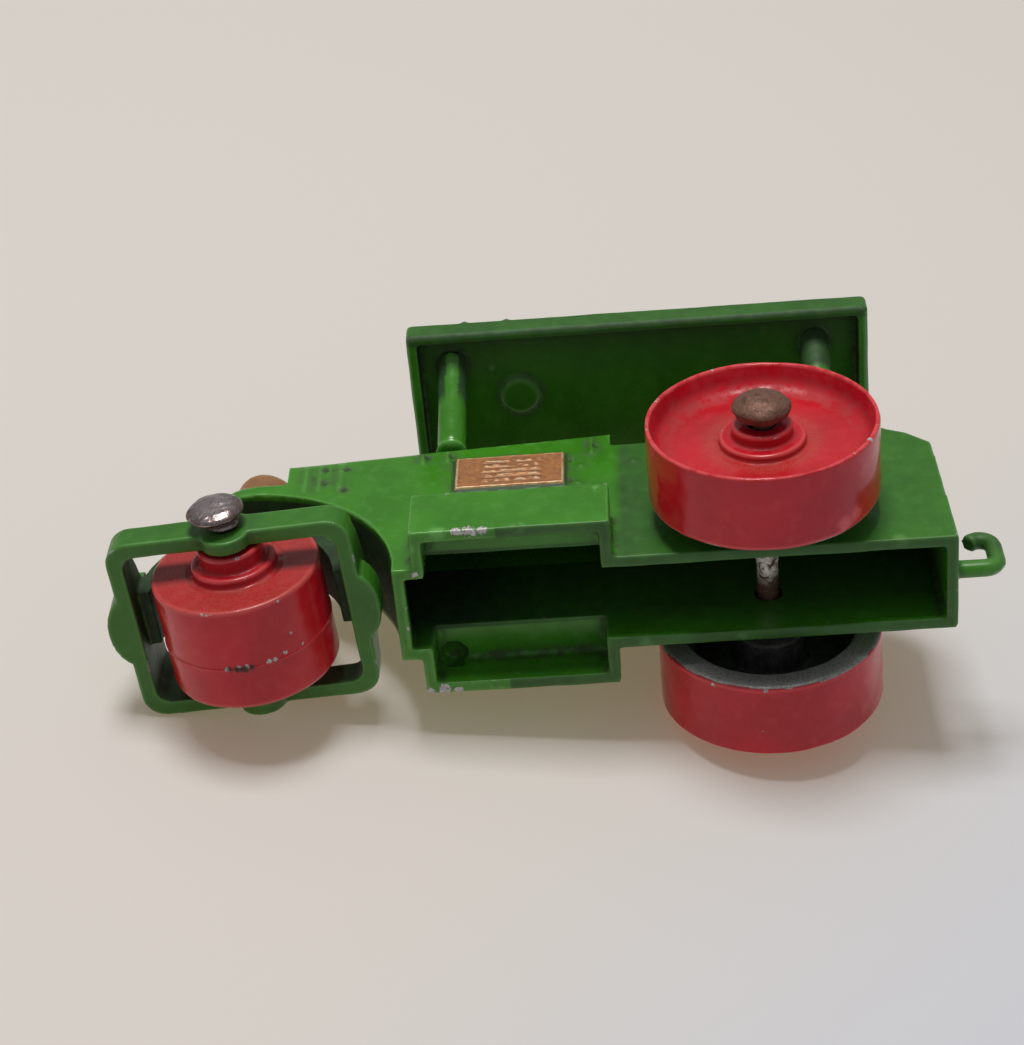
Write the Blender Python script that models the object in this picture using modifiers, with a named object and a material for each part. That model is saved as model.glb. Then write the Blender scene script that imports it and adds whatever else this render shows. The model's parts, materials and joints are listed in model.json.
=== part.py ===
"""Pocket-size die-cast toy road roller with a four-post canopy and a steered front roller.

Metres, +Z up. The toy stands on its rollers at z = 0 and faces -Y, so its left side is +X.
It is drawn in a chassis frame, with the rear axle at y = 0 and its roller standing on z = 0:
a station is a distance ahead of the rear axle, so y = -station. The yoke hangs low enough to
lift the nose a little, so the chassis is tilted until both axles' rollers touch the ground, and
then moved until the origin is under the middle of the toy's box.
"""

import math

import bmesh
import bpy
from mathutils import Matrix, Vector

MM = 0.001
GAP = 0.12 * MM
TURN_STEPS = 48
BORE_STEPS = 24

# Rear rollers and their axle
REAR_RADIUS = 7.3 * MM
REAR_WIDTH = 5.2 * MM
REAR_INNER_X = 5.1 * MM
AXLE_RADIUS = 0.7 * MM
BORE_RADIUS = 0.9 * MM
REAR_HEAD_RADIUS = 1.85 * MM
REAR_HEAD_X = 10.55 * MM
REAR_HEAD_HEIGHT = 1.4 * MM

# Front roller, its pin and the yoke that carries it
FRONT_RADIUS = 5.4 * MM
FRONT_HALF_WIDTH = 3.65 * MM
FRONT_STEP_RADIUS = 2.7 * MM
FRONT_STEP_HEIGHT = 0.6 * MM
FRONT_HUB_RADIUS = 2.1 * MM
FRONT_HUB_HEIGHT = 1.75 * MM
PIN_HEAD_RADIUS = 1.85 * MM
YOKE_STATION = 33.55 * MM
FRONT_AXLE_HEIGHT = 4.6 * MM
STEER_AT_REST = math.radians(-3.6)
YOKE_HALF_LENGTH = 7.85 * MM
YOKE_HALF_WIDTH = 6.65 * MM
YOKE_BAR = 1.05 * MM
YOKE_TOP = 1.15 * MM
YOKE_BOTTOM = -0.95 * MM
YOKE_CORNER = 1.5 * MM
BULGE_HEIGHT = 1.0 * MM
BULGE_HALF_WIDTH = 2.55 * MM
YOKE_WALL_TOP = 3.1 * MM
YOKE_WALL_EDGE = 1.0 * MM
YOKE_WALL_REACH = 5.45 * MM
CORNER_WALL_TOP = 3.8 * MM
CORNER_WALL_START = 1.4 * MM
CORNER_WALL_END = 5.3 * MM
SADDLE_HALF_WIDTH = 2.0 * MM
SADDLE_INNER_REACH = 6.0 * MM
SADDLE_INNER_RISE = 6.6 * MM
SADDLE_OUTER_RISE = 8.25 * MM
SADDLE_OUTER_REACH = 6.95 * MM
SADDLE_ROOT_REACH = 7.3 * MM
SADDLE_ROOT_TOP = 2.3 * MM
SADDLE_FOOT = 0.55 * MM
EYE_RADIUS = 1.65 * MM
EYE_PROUD = 0.05 * MM
KINGPIN_RADIUS = 1.0 * MM
KINGPIN_BORE = 1.15 * MM
KINGPIN_FOOT_RADIUS = 1.6 * MM

# Body casting
HALF_WIDTH = 3.45 * MM
WALL = 0.75 * MM
BODY_BOTTOM = 3.05 * MM
REAR_STATION = -11.7 * MM
FRONT_STATION = 23.7 * MM
ARCH_STATION = 34.1 * MM
ARCH_HEIGHT = BODY_BOTTOM
ARCH_RADIUS = ARCH_STATION - FRONT_STATION
TONGUE_TOP = 14.55 * MM
HOOD_FRONT = 31.35 * MM
HOOD_REAR = 9.7 * MM
HOOD_FRONT_TOP = 17.15 * MM
HOOD_REAR_TOP = 18.85 * MM
DECK_TOP = 16.9 * MM
COCKPIT_FLOOR = 12.5 * MM
CHAMFER = ((-8.4 * MM, DECK_TOP), (-9.9 * MM, 16.1 * MM), (-11.35 * MM, 14.6 * MM))
REAR_SILL = 14.6 * MM
WELL_REAR = -10.5 * MM
PANNIER_FRONT = 22.4 * MM
PANNIER_REAR = 9.8 * MM
PANNIER_HALF_WIDTH = 6.15 * MM
PANNIER_TOP = 7.65 * MM
PANNIER_CEILING = 5.8 * MM
STEERING_BOSS_RADIUS = 2.3 * MM
STEERING_BOSS_TOP = 15.7 * MM
CAP_RADIUS = 2.08 * MM
CAP_SHOULDER = 18.1 * MM
CAP_TOP = 19.3 * MM
AXLE_BOSS_RADIUS = 2.2 * MM
AXLE_BOSS_X = 4.75 * MM
PLATE_FRONT = 20.05 * MM
PLATE_REAR = 12.75 * MM
PLATE_BOTTOM = 12.1 * MM
PLATE_TOP = 16.0 * MM
PLATE_PROUD = 0.2 * MM

KINGPIN_Y = -YOKE_STATION

# Tow hook
HOOK_RADIUS = 0.6 * MM
HOOK_HEIGHT = 4.5 * MM
HOOK_REACH = 2.65 * MM

# Canopy
ROOF_FRONT = 23.2 * MM
ROOF_REAR = -8.1 * MM
ROOF_HALF_WIDTH = 9.6 * MM
ROOF_BOTTOM = 22.45 * MM
ROOF_TOP = 24.4 * MM
ROOF_RECESS = 1.1 * MM
ROOF_RIM = 0.72 * MM
POST_RADIUS = 0.88 * MM
FOOT_RADIUS = 1.02 * MM
FOOT_HEIGHT = 0.85 * MM
POST_LIFT = 0.45 * MM
FRONT_POST_TOP = (20.2 * MM, 7.2 * MM)
FRONT_POST_FOOT = (20.5 * MM, 2.75 * MM)
REAR_POST_TOP = (-4.5 * MM, 7.0 * MM)
REAR_POST_FOOT = (-4.5 * MM, 2.95 * MM)

# Nose-up tilt that stands the front roller on the ground
AXLE_DROP = REAR_RADIUS - FRONT_AXLE_HEIGHT
AXLE_SPAN = math.hypot(YOKE_STATION, AXLE_DROP)
TILT = math.atan2(AXLE_DROP, YOKE_STATION) - math.asin((REAR_RADIUS - FRONT_RADIUS) / AXLE_SPAN)

GREEN = (0.050, 0.220, 0.022, 1)
RED = (0.52, 0.016, 0.028, 1)
STEEL = (0.30, 0.27, 0.26, 1)
RUST = (0.17, 0.085, 0.052, 1)
GOLD = (0.50, 0.23, 0.085, 1)


# ---------------------------------------------------------------- scene and helpers

def new_collection(name):
    found = bpy.data.collections.new(name)
    bpy.context.scene.collection.children.link(found)
    return found


for old in list(bpy.data.objects):
    bpy.data.objects.remove(old)
PARTS = new_collection("toy_road_roller")
CUTTERS = new_collection("cutters")
CHASSIS = bpy.data.objects.new("chassis", None)
PARTS.objects.link(CHASSIS)


def material(name, colour, metallic, roughness):
    made = bpy.data.materials.new(name)
    made.use_nodes = True
    shader = made.node_tree.nodes["Principled BSDF"]
    shader.inputs["Base Color"].default_value = colour
    shader.inputs["Metallic"].default_value = metallic
    shader.inputs["Roughness"].default_value = roughness
    return made


def add(name, mesh, collection=PARTS, location=(0, 0, 0), rotation=(0, 0, 0), parent=None):
    made = bpy.data.objects.new(name, mesh)
    collection.objects.link(made)
    made.location = location
    made.rotation_euler = rotation
    made.parent = parent
    if collection is PARTS and parent is None:
        made.parent = CHASSIS
    if collection is CUTTERS:
        made.hide_render = True
        made.display_type = "WIRE"
    return made


def finish(part, colour, metallic=0.0, roughness=0.4, smooth_angle=40):
    part.data.materials.clear()
    part.data.materials.append(material(part.name + "_paint", colour, metallic, roughness))
    part.data.shade_smooth()
    part.data.set_sharp_from_angle(angle=math.radians(smooth_angle))
    return part


def boolean(part, tool, operation="DIFFERENCE"):
    step = part.modifiers.new(operation.lower() + "_" + tool.name, "BOOLEAN")
    step.operation = operation
    step.object = tool
    step.solver = "EXACT"


def box_mesh(name, low, high):
    shape = bmesh.new()
    bmesh.ops.create_cube(shape, size=1)
    low = Vector(low)
    high = Vector(high)
    bmesh.ops.scale(shape, vec=high - low, verts=shape.verts)
    bmesh.ops.translate(shape, vec=(high + low) / 2, verts=shape.verts)
    mesh = bpy.data.meshes.new(name)
    shape.to_mesh(mesh)
    shape.free()
    return mesh


def rod_mesh(name, start, end, radius, end_radius=None, steps=BORE_STEPS):
    start = Vector(start)
    end = Vector(end)
    shape = bmesh.new()
    bmesh.ops.create_cone(
        shape,
        cap_ends=True,
        segments=steps,
        radius1=radius,
        radius2=radius if end_radius is None else end_radius,
        depth=(end - start).length,
    )
    turn = (end - start).to_track_quat("Z", "Y").to_matrix().to_4x4()
    bmesh.ops.transform(
        shape, matrix=Matrix.Translation((start + end) / 2) @ turn, verts=shape.verts
    )
    mesh = bpy.data.meshes.new(name)
    shape.to_mesh(mesh)
    shape.free()
    return mesh


def arc(centre, radius, start, end, steps):
    """Points on a circle, or on an ellipse when radius is a pair; angles in degrees."""
    reach = radius if isinstance(radius, tuple) else (radius, radius)
    points = []
    for i in range(steps + 1):
        angle = math.radians(start + (end - start) * i / steps)
        across = centre[0] + reach[0] * math.cos(angle)
        up = centre[1] + reach[1] * math.sin(angle)
        points.append((across, up))
    return points


def outline_mesh(name, loops, half_depth):
    """A flat outline in local XY, extruded both ways along local Z, as a welded mesh."""
    curve = bpy.data.curves.new(name, "CURVE")
    curve.dimensions = "2D"
    curve.fill_mode = "BOTH"
    curve.extrude = half_depth
    for loop in loops:
        spline = curve.splines.new("POLY")
        spline.points.add(len(loop) - 1)
        for point, (across, up) in zip(spline.points, loop):
            point.co = (across, up, 0, 1)
        spline.use_cyclic_u = True
    guide = bpy.data.objects.new(name, curve)
    bpy.context.scene.collection.objects.link(guide)
    bpy.context.view_layer.update()
    evaluated = guide.evaluated_get(bpy.context.evaluated_depsgraph_get())
    mesh = bpy.data.meshes.new_from_object(evaluated)
    bpy.data.objects.remove(guide)
    shape = bmesh.new()
    shape.from_mesh(mesh)
    bmesh.ops.remove_doubles(shape, verts=shape.verts, dist=0.000001)
    bmesh.ops.recalc_face_normals(shape, faces=shape.faces)
    shape.to_mesh(mesh)
    shape.free()
    return mesh


# An outline drawn as (station, height) turns with this rotation to stand along the toy.
SIDE_VIEW = Matrix(((0, 0, -1), (-1, 0, 0), (0, 1, 0))).to_euler()


def side_outline(name, points, half_width, collection=CUTTERS):
    mesh = outline_mesh(name, [points], half_width)
    return add(name, mesh, collection, (0, 0, 0), SIDE_VIEW)


def turned(name, profile, location, rotation, steps=TURN_STEPS, parent=None, closed=True):
    """Turns (radius, height) points about local Z. They run down the outer side."""
    mesh = bpy.data.meshes.new(name)
    edges = [(i, i + 1) for i in range(len(profile) - 1)]
    if closed:
        edges.append((len(profile) - 1, 0))
    mesh.from_pydata([(r, 0, z) for r, z in profile], edges, [])
    made = add(name, mesh, PARTS, location, rotation, parent)
    screw = made.modifiers.new("turn", "SCREW")
    screw.angle = math.tau
    screw.steps = steps
    screw.render_steps = steps
    screw.use_merge_vertices = True
    screw.merge_threshold = 0.000001
    screw.use_smooth_shade = False
    return made


def bake(part):
    """Applies the part's modifiers, keeping its place."""
    bpy.context.view_layer.update()
    evaluated = part.evaluated_get(bpy.context.evaluated_depsgraph_get())
    mesh = bpy.data.meshes.new_from_object(evaluated)
    part.modifiers.clear()
    part.data = mesh
    return part


def dome(radius, base, top, steps=6):
    """Profile points of a domed head, from its tip on the axis down to its rim."""
    return [(0.0, top)] + arc((0, base), (radius, top - base), 90, 0, steps)[1:]


# ---------------------------------------------------------------- rollers and axles

TURN_LEFT = (0, math.pi / 2, 0)
TURN_RIGHT = (0, -math.pi / 2, 0)


def make_rear_roller(name, side):
    """A cast cup: dished outer face with a thin rim and a two-step hub, hollow inner side."""
    w = REAR_WIDTH
    r = REAR_RADIUS
    profile = [
        (r - 0.15 * MM, w),
        (r, w - 0.15 * MM),
        (r, 0.2 * MM),
        (r - 0.2 * MM, 0),
        (r - 1.6 * MM, 0),
        (r - 1.75 * MM, 3.1 * MM),
        (2.4 * MM, 2.6 * MM),
        (2.2 * MM, 0.35 * MM),
        (BORE_RADIUS, 0.35 * MM),
        (BORE_RADIUS, w - 0.3 * MM),
        (1.9 * MM, w - 0.3 * MM),
        (1.9 * MM, w - 1.15 * MM),
        (2.65 * MM, w - 1.15 * MM),
        (2.65 * MM, w - 1.7 * MM),
        (r - 0.75 * MM, w - 1.0 * MM),
        (r - 0.45 * MM, w),
    ]
    rotation = TURN_LEFT if side > 0 else TURN_RIGHT
    place = (side * REAR_INNER_X, 0, REAR_RADIUS)
    return finish(bake(turned(name, profile, place, rotation)), RED, roughness=0.35)


def make_rear_axle():
    half = REAR_HEAD_X
    top = dome(REAR_HEAD_RADIUS, half + 0.45 * MM, half + REAR_HEAD_HEIGHT)
    top += [(REAR_HEAD_RADIUS - 0.2 * MM, half), (AXLE_RADIUS, half)]
    profile = top + [(r, -z) for r, z in reversed(top)]
    place = (0, 0, REAR_RADIUS)
    axle = turned("rear_axle", profile, place, TURN_LEFT, steps=32, closed=False)
    return finish(bake(axle), RUST, metallic=0.8, roughness=0.6)


def make_front_roller(yoke):
    half = [
        (FRONT_HUB_RADIUS - 0.1 * MM, FRONT_HALF_WIDTH + FRONT_HUB_HEIGHT),
        (FRONT_HUB_RADIUS, FRONT_HALF_WIDTH + FRONT_HUB_HEIGHT - 0.1 * MM),
        (FRONT_HUB_RADIUS, FRONT_HALF_WIDTH + FRONT_STEP_HEIGHT),
        (FRONT_STEP_RADIUS, FRONT_HALF_WIDTH + FRONT_STEP_HEIGHT),
        (FRONT_STEP_RADIUS + 0.1 * MM, FRONT_HALF_WIDTH),
        (FRONT_RADIUS - 0.2 * MM, FRONT_HALF_WIDTH),
        (FRONT_RADIUS, FRONT_HALF_WIDTH - 0.2 * MM),
    ]
    mirrored = [(r, -z) for r, z in reversed(half)]
    bore_end = FRONT_HALF_WIDTH + FRONT_HUB_HEIGHT
    bore = [(BORE_RADIUS, -bore_end), (BORE_RADIUS, bore_end)]
    roller = turned("front_roller", half + mirrored + bore, (0, 0, 0), TURN_LEFT, parent=yoke)
    return finish(bake(roller), RED, roughness=0.35)


def make_front_pin(yoke):
    """A nail: domed head on a collar at the left, a small riveted end at the right."""
    bar = YOKE_HALF_WIDTH + EYE_PROUD + GAP
    profile = dome(PIN_HEAD_RADIUS, bar + 0.95 * MM, bar + 1.55 * MM)
    profile += [(PIN_HEAD_RADIUS - 0.25 * MM, bar + 0.7 * MM), (1.1 * MM, bar + 0.6 * MM)]
    profile += [(1.1 * MM, bar), (AXLE_RADIUS, bar), (AXLE_RADIUS, -bar)]
    profile += [(r, -z) for r, z in reversed(dome(1.2 * MM, bar, bar + 0.55 * MM, 4))]
    pin = turned("front_axle_pin", profile, (0, 0, 0), TURN_LEFT, 32, yoke, closed=False)
    return finish(bake(pin), STEEL, metallic=1.0, roughness=0.3)


def make_kingpin():
    """The rivet that the yoke turns on, with a domed cap on top of the steering boss."""
    foot = FRONT_AXLE_HEIGHT + SADDLE_INNER_RISE + 0.08 * MM
    cap_base = STEERING_BOSS_TOP + GAP
    profile = dome(CAP_RADIUS, CAP_SHOULDER, CAP_TOP, 7)
    profile += [(CAP_RADIUS, cap_base), (KINGPIN_RADIUS, cap_base)]
    profile += [(KINGPIN_RADIUS, foot + 0.4 * MM), (KINGPIN_FOOT_RADIUS, foot + 0.4 * MM)]
    profile += [(KINGPIN_FOOT_RADIUS - 0.3 * MM, foot), (0.0, foot)]
    pin = turned("kingpin", profile, (0, KINGPIN_Y, 0), (0, 0, 0), 32, closed=False)
    return finish(bake(pin), GOLD, metallic=0.6, roughness=0.45)


# ---------------------------------------------------------------- front yoke

def rounded_rectangle(half_length, half_width, corner, steps=5):
    points = []
    for quarter in range(4):
        along = half_length - corner
        across = half_width - corner
        centre = (
            along if quarter in (0, 3) else -along,
            across if quarter in (0, 1) else -across,
        )
        points += arc(centre, corner, 90 * quarter, 90 * quarter + 90, steps)
    return points


def bulge_outline(end):
    """A half-round swelling in plan, rooted inside the end bar; end is +1 or -1."""
    reach = BULGE_HEIGHT + YOKE_BAR / 2
    root = end * (YOKE_HALF_LENGTH - YOKE_BAR / 2)
    start, stop = (-90, 90) if end > 0 else (90, 270)
    return arc((root, 0), (reach, BULGE_HALF_WIDTH), start, stop, 12)


def end_wall_outline():
    """The round-topped wall that stands on each end bar, as (across, height)."""
    rise = YOKE_WALL_TOP - YOKE_WALL_EDGE
    bend = (YOKE_WALL_REACH ** 2 + rise ** 2) / (2 * rise)
    spread = math.degrees(math.asin(YOKE_WALL_REACH / bend))
    outline = arc((0, YOKE_WALL_TOP - bend), bend, 90 - spread, 90 + spread, 16)
    return outline + [(-YOKE_WALL_REACH, 0), (YOKE_WALL_REACH, 0)]


def corner_wall_outline():
    """Seen from above: the wall on the front bar, round the right corner onto the right bar."""
    inset = 0.05 * MM
    front = YOKE_HALF_LENGTH - inset
    side = YOKE_HALF_WIDTH - inset
    behind = YOKE_HALF_LENGTH - YOKE_BAR + inset
    within = YOKE_HALF_WIDTH - YOKE_BAR + inset
    inner_bend = YOKE_CORNER - 0.6 * MM + inset
    outer_bend = YOKE_CORNER - inset
    outline = [(CORNER_WALL_START, -behind)]
    outline += arc((inner_bend - within, inner_bend - behind), inner_bend, 270, 180, 8)
    outline += [(-within, -CORNER_WALL_END), (-side, -CORNER_WALL_END)]
    outline += arc((outer_bend - side, outer_bend - front), outer_bend, 180, 270, 8)
    return outline + [(CORNER_WALL_START, -front)]


def make_yoke():
    """A rectangular ring around the roller, with a saddle over it that takes the kingpin."""
    height = YOKE_TOP - YOKE_BOTTOM
    middle = (YOKE_TOP + YOKE_BOTTOM) / 2
    turn = (0, 0, math.pi / 2)
    outer = rounded_rectangle(YOKE_HALF_LENGTH, YOKE_HALF_WIDTH, YOKE_CORNER)
    inner = rounded_rectangle(
        YOKE_HALF_LENGTH - YOKE_BAR, YOKE_HALF_WIDTH - YOKE_BAR, YOKE_CORNER - 0.6 * MM
    )
    mesh = outline_mesh("front_yoke", [outer, inner[::-1]], height / 2)
    mesh.transform(Matrix.Rotation(math.pi / 2, 4, "Z"))
    mesh.transform(Matrix.Translation((0, 0, middle)))
    yoke = add("front_yoke", mesh, PARTS, (0, KINGPIN_Y, FRONT_AXLE_HEIGHT))

    for label, end in (("front", 1), ("rear", -1)):
        bulge_mesh = outline_mesh(label + "_bulge", [bulge_outline(end)], height / 2)
        place = (0, KINGPIN_Y, FRONT_AXLE_HEIGHT + middle)
        bulge = add(label + "_bulge", bulge_mesh, CUTTERS, place, turn)
        boolean(yoke, bulge, "UNION")

    for label, end in (("front", -1), ("rear", 1)):
        thickness = YOKE_BAR - 0.08 * MM
        wall_mesh = outline_mesh(label + "_wall", [end_wall_outline()], thickness / 2)
        along = KINGPIN_Y + end * (YOKE_HALF_LENGTH - YOKE_BAR / 2)
        place = (0, along, FRONT_AXLE_HEIGHT)
        wall = add(label + "_wall", wall_mesh, CUTTERS, place, (math.pi / 2, 0, 0))
        boolean(yoke, wall, "UNION")

    foot = 0.1 * MM
    corner_mesh = outline_mesh("corner_wall", [corner_wall_outline()], (CORNER_WALL_TOP - foot) / 2)
    place = (0, KINGPIN_Y, FRONT_AXLE_HEIGHT + (CORNER_WALL_TOP + foot) / 2)
    corner_wall = add("corner_wall", corner_mesh, CUTTERS, place)
    boolean(yoke, corner_wall, "UNION")

    band = arc((0, 0), (SADDLE_OUTER_REACH, SADDLE_OUTER_RISE), 18, 162, 24)
    band += [(-SADDLE_ROOT_REACH, SADDLE_ROOT_TOP), (-SADDLE_ROOT_REACH, SADDLE_FOOT)]
    band += arc((0, 0), (SADDLE_INNER_REACH, SADDLE_INNER_RISE), 175, 5, 26)
    band += [(SADDLE_ROOT_REACH, SADDLE_FOOT), (SADDLE_ROOT_REACH, SADDLE_ROOT_TOP)]
    saddle_mesh = outline_mesh("saddle", [band], SADDLE_HALF_WIDTH)
    saddle = add("saddle", saddle_mesh, CUTTERS, (0, KINGPIN_Y, FRONT_AXLE_HEIGHT), SIDE_VIEW)
    boolean(yoke, saddle, "UNION")

    for label, side in (("left", 1), ("right", -1)):
        inside = YOKE_HALF_WIDTH - YOKE_BAR + 0.1 * MM
        start = (side * inside, KINGPIN_Y, FRONT_AXLE_HEIGHT)
        end = (side * (YOKE_HALF_WIDTH + EYE_PROUD), KINGPIN_Y, FRONT_AXLE_HEIGHT)
        eye = add(label + "_eye", rod_mesh(label + "_eye", start, end, EYE_RADIUS), CUTTERS)
        boolean(yoke, eye, "UNION")

    reach = 2 * YOKE_HALF_WIDTH
    start = (-reach, KINGPIN_Y, FRONT_AXLE_HEIGHT)
    end = (reach, KINGPIN_Y, FRONT_AXLE_HEIGHT)
    bore = add("pin_bore", rod_mesh("pin_bore", start, end, BORE_RADIUS), CUTTERS)
    boolean(yoke, bore)

    saddle_bottom = FRONT_AXLE_HEIGHT + SADDLE_INNER_RISE
    start = (0, KINGPIN_Y, saddle_bottom - 1 * MM)
    end = (0, KINGPIN_Y, saddle_bottom + 3 * MM)
    hole = add("kingpin_hole", rod_mesh("kingpin_hole", start, end, KINGPIN_BORE), CUTTERS)
    boolean(yoke, hole)
    end = (0, KINGPIN_Y, saddle_bottom + 0.65 * MM)
    recess_mesh = rod_mesh("kingpin_recess", start, end, KINGPIN_FOOT_RADIUS + 0.2 * MM)
    recess = add("kingpin_recess", recess_mesh, CUTTERS)
    boolean(yoke, recess)
    return finish(bake(yoke), GREEN)


# ---------------------------------------------------------------- body casting

def hood_top(station, below=0.0):
    """Height of the sloping hood top at a station, less an inset."""
    share = (station - HOOD_REAR) / (HOOD_FRONT - HOOD_REAR)
    return HOOD_REAR_TOP + share * (HOOD_FRONT_TOP - HOOD_REAR_TOP) - below


def body_outline():
    points = [(REAR_STATION, BODY_BOTTOM), (FRONT_STATION, BODY_BOTTOM)]
    points += arc((ARCH_STATION, ARCH_HEIGHT), ARCH_RADIUS, 180, 90, 18)[1:]
    tip = YOKE_STATION + HALF_WIDTH
    points += [(tip, ARCH_HEIGHT + ARCH_RADIUS), (tip, TONGUE_TOP)]
    points += [(HOOD_FRONT, TONGUE_TOP), (HOOD_FRONT, HOOD_FRONT_TOP)]
    points += [(HOOD_REAR, HOOD_REAR_TOP), (HOOD_REAR, DECK_TOP)]
    points += CHAMFER
    return points


def cavity_outline():
    """The hollow under the hood and the cockpit, open at the bottom."""
    below = BODY_BOTTOM - 1 * MM
    radius = ARCH_RADIUS + WALL
    front = HOOD_FRONT - WALL
    meet = math.degrees(math.acos((front - ARCH_STATION) / radius))
    points = [(REAR_STATION + WALL, below), (ARCH_STATION - radius, below)]
    points += arc((ARCH_STATION, ARCH_HEIGHT), radius, 180, meet, 14)
    points += [(front, hood_top(front, WALL))]
    inner = HOOD_REAR + WALL
    points += [(inner, hood_top(inner, WALL)), (inner, COCKPIT_FLOOR - WALL)]
    points += [(REAR_STATION + WALL, COCKPIT_FLOOR - WALL)]
    return points


def cockpit_outline():
    """The driver's well, open at the top."""
    front = HOOD_REAR - WALL
    sill = WELL_REAR + 2.2 * MM
    above = DECK_TOP + 3 * MM
    points = [(WELL_REAR, COCKPIT_FLOOR), (front, COCKPIT_FLOOR), (front, above)]
    points += [(sill, above), (sill, REAR_SILL), (WELL_REAR, REAR_SILL - 0.8 * MM)]
    return points


def station_box(name, stations, widths, heights):
    """A cutter box given by its stations, its places across and its heights."""
    low = (widths[0], -stations[1], heights[0])
    high = (widths[1], -stations[0], heights[1])
    return add(name, box_mesh(name, low, high), CUTTERS)


def hook_curve():
    """A bar that leaves the rear wall, turns up and curls forward again."""
    curve = bpy.data.curves.new("tow_hook", "CURVE")
    curve.dimensions = "3D"
    curve.bevel_depth = HOOK_RADIUS
    curve.bevel_resolution = 2
    curve.use_fill_caps = True
    back = REAR_STATION - HOOK_REACH
    bend = 0.75 * MM
    route = [(REAR_STATION + 0.4 * MM, HOOK_HEIGHT), (back + bend + 0.5 * MM, HOOK_HEIGHT)]
    route += arc((back + bend, HOOK_HEIGHT + bend), bend, 270, 180, 4)
    rise = HOOK_HEIGHT + 2.35 * MM
    route += arc((back + 0.85 * MM, rise), 0.85 * MM, 180, 35, 6)
    spline = curve.splines.new("POLY")
    spline.points.add(len(route) - 1)
    for point, (station, height) in zip(spline.points, route):
        point.co = (0, -station, height, 1)
    guide = bpy.data.objects.new("tow_hook_route", curve)
    bpy.context.scene.collection.objects.link(guide)
    bpy.context.view_layer.update()
    evaluated = guide.evaluated_get(bpy.context.evaluated_depsgraph_get())
    mesh = bpy.data.meshes.new_from_object(evaluated)
    bpy.data.objects.remove(guide)
    shape = bmesh.new()
    shape.from_mesh(mesh)
    bmesh.ops.remove_doubles(shape, verts=shape.verts, dist=0.000001)
    bmesh.ops.recalc_face_normals(shape, faces=shape.faces)
    shape.to_mesh(mesh)
    shape.free()
    return add("tow_hook", mesh, CUTTERS)


def tongue_trim():
    """Rounds the tongue in plan about the kingpin."""
    reach = 3 * HALF_WIDTH
    front = YOKE_STATION + HALF_WIDTH + 1 * MM
    points = [(front, -reach), (front, reach), (YOKE_STATION, reach)]
    points += [(YOKE_STATION, HALF_WIDTH + 0.5 * MM)]
    points += arc((YOKE_STATION, 0), HALF_WIDTH, 90, -90, 16)
    points += [(YOKE_STATION, -HALF_WIDTH - 0.5 * MM), (YOKE_STATION, -reach)]
    mesh = outline_mesh("tongue_trim", [points], 6 * MM)
    place = (0, 0, TONGUE_TOP)
    return add("tongue_trim", mesh, CUTTERS, place, (0, 0, -math.pi / 2))


def make_body():
    body = side_outline("body_casting", body_outline(), HALF_WIDTH, PARTS)
    body.data.transform(body.rotation_euler.to_matrix().to_4x4())
    body.location = (0, 0, 0)
    body.rotation_euler = (0, 0, 0)

    boolean(body, tongue_trim())
    panniers = station_box(
        "panniers",
        (PANNIER_REAR, PANNIER_FRONT),
        (-PANNIER_HALF_WIDTH, PANNIER_HALF_WIDTH),
        (BODY_BOTTOM, PANNIER_TOP),
    )
    boolean(body, panniers, "UNION")
    start = (-AXLE_BOSS_X, 0, REAR_RADIUS)
    end = (AXLE_BOSS_X, 0, REAR_RADIUS)
    bosses = add("axle_bosses", rod_mesh("axle_bosses", start, end, AXLE_BOSS_RADIUS), CUTTERS)
    boolean(body, bosses, "UNION")
    start = (0, KINGPIN_Y, TONGUE_TOP - 0.5 * MM)
    end = (0, KINGPIN_Y, STEERING_BOSS_TOP)
    boss_mesh = rod_mesh("steering_boss", start, end, STEERING_BOSS_RADIUS, steps=32)
    boolean(body, add("steering_boss", boss_mesh, CUTTERS), "UNION")
    for label, side in (("left", 1), ("right", -1)):
        widths = sorted((side * (HALF_WIDTH - 0.3 * MM), side * (HALF_WIDTH + PLATE_PROUD)))
        plate = station_box(
            label + "_nameplate",
            (PLATE_REAR, PLATE_FRONT),
            widths,
            (PLATE_BOTTOM, PLATE_TOP),
        )
        boolean(body, plate, "UNION")
    boolean(body, hook_curve(), "UNION")

    boolean(body, side_outline("cavity", cavity_outline(), HALF_WIDTH - WALL))
    boolean(body, side_outline("cockpit", cockpit_outline(), HALF_WIDTH - WALL))
    inside = station_box(
        "pannier_hollow",
        (PANNIER_REAR + WALL, PANNIER_FRONT - WALL),
        (WALL - PANNIER_HALF_WIDTH, PANNIER_HALF_WIDTH - WALL),
        (BODY_BOTTOM - 1 * MM, PANNIER_CEILING),
    )
    boolean(body, inside)

    reach = 2 * HALF_WIDTH
    start = (-reach, 0, REAR_RADIUS)
    end = (reach, 0, REAR_RADIUS)
    bore = add("axle_bore", rod_mesh("axle_bore", start, end, BORE_RADIUS), CUTTERS)
    boolean(body, bore)
    start = (0, KINGPIN_Y, ARCH_HEIGHT + ARCH_RADIUS - 2 * MM)
    end = (0, KINGPIN_Y, STEERING_BOSS_TOP + 2 * MM)
    bore = add("kingpin_bore", rod_mesh("kingpin_bore", start, end, KINGPIN_BORE), CUTTERS)
    boolean(body, bore)
    return finish(bake(body), GREEN)


# ---------------------------------------------------------------- canopy

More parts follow.
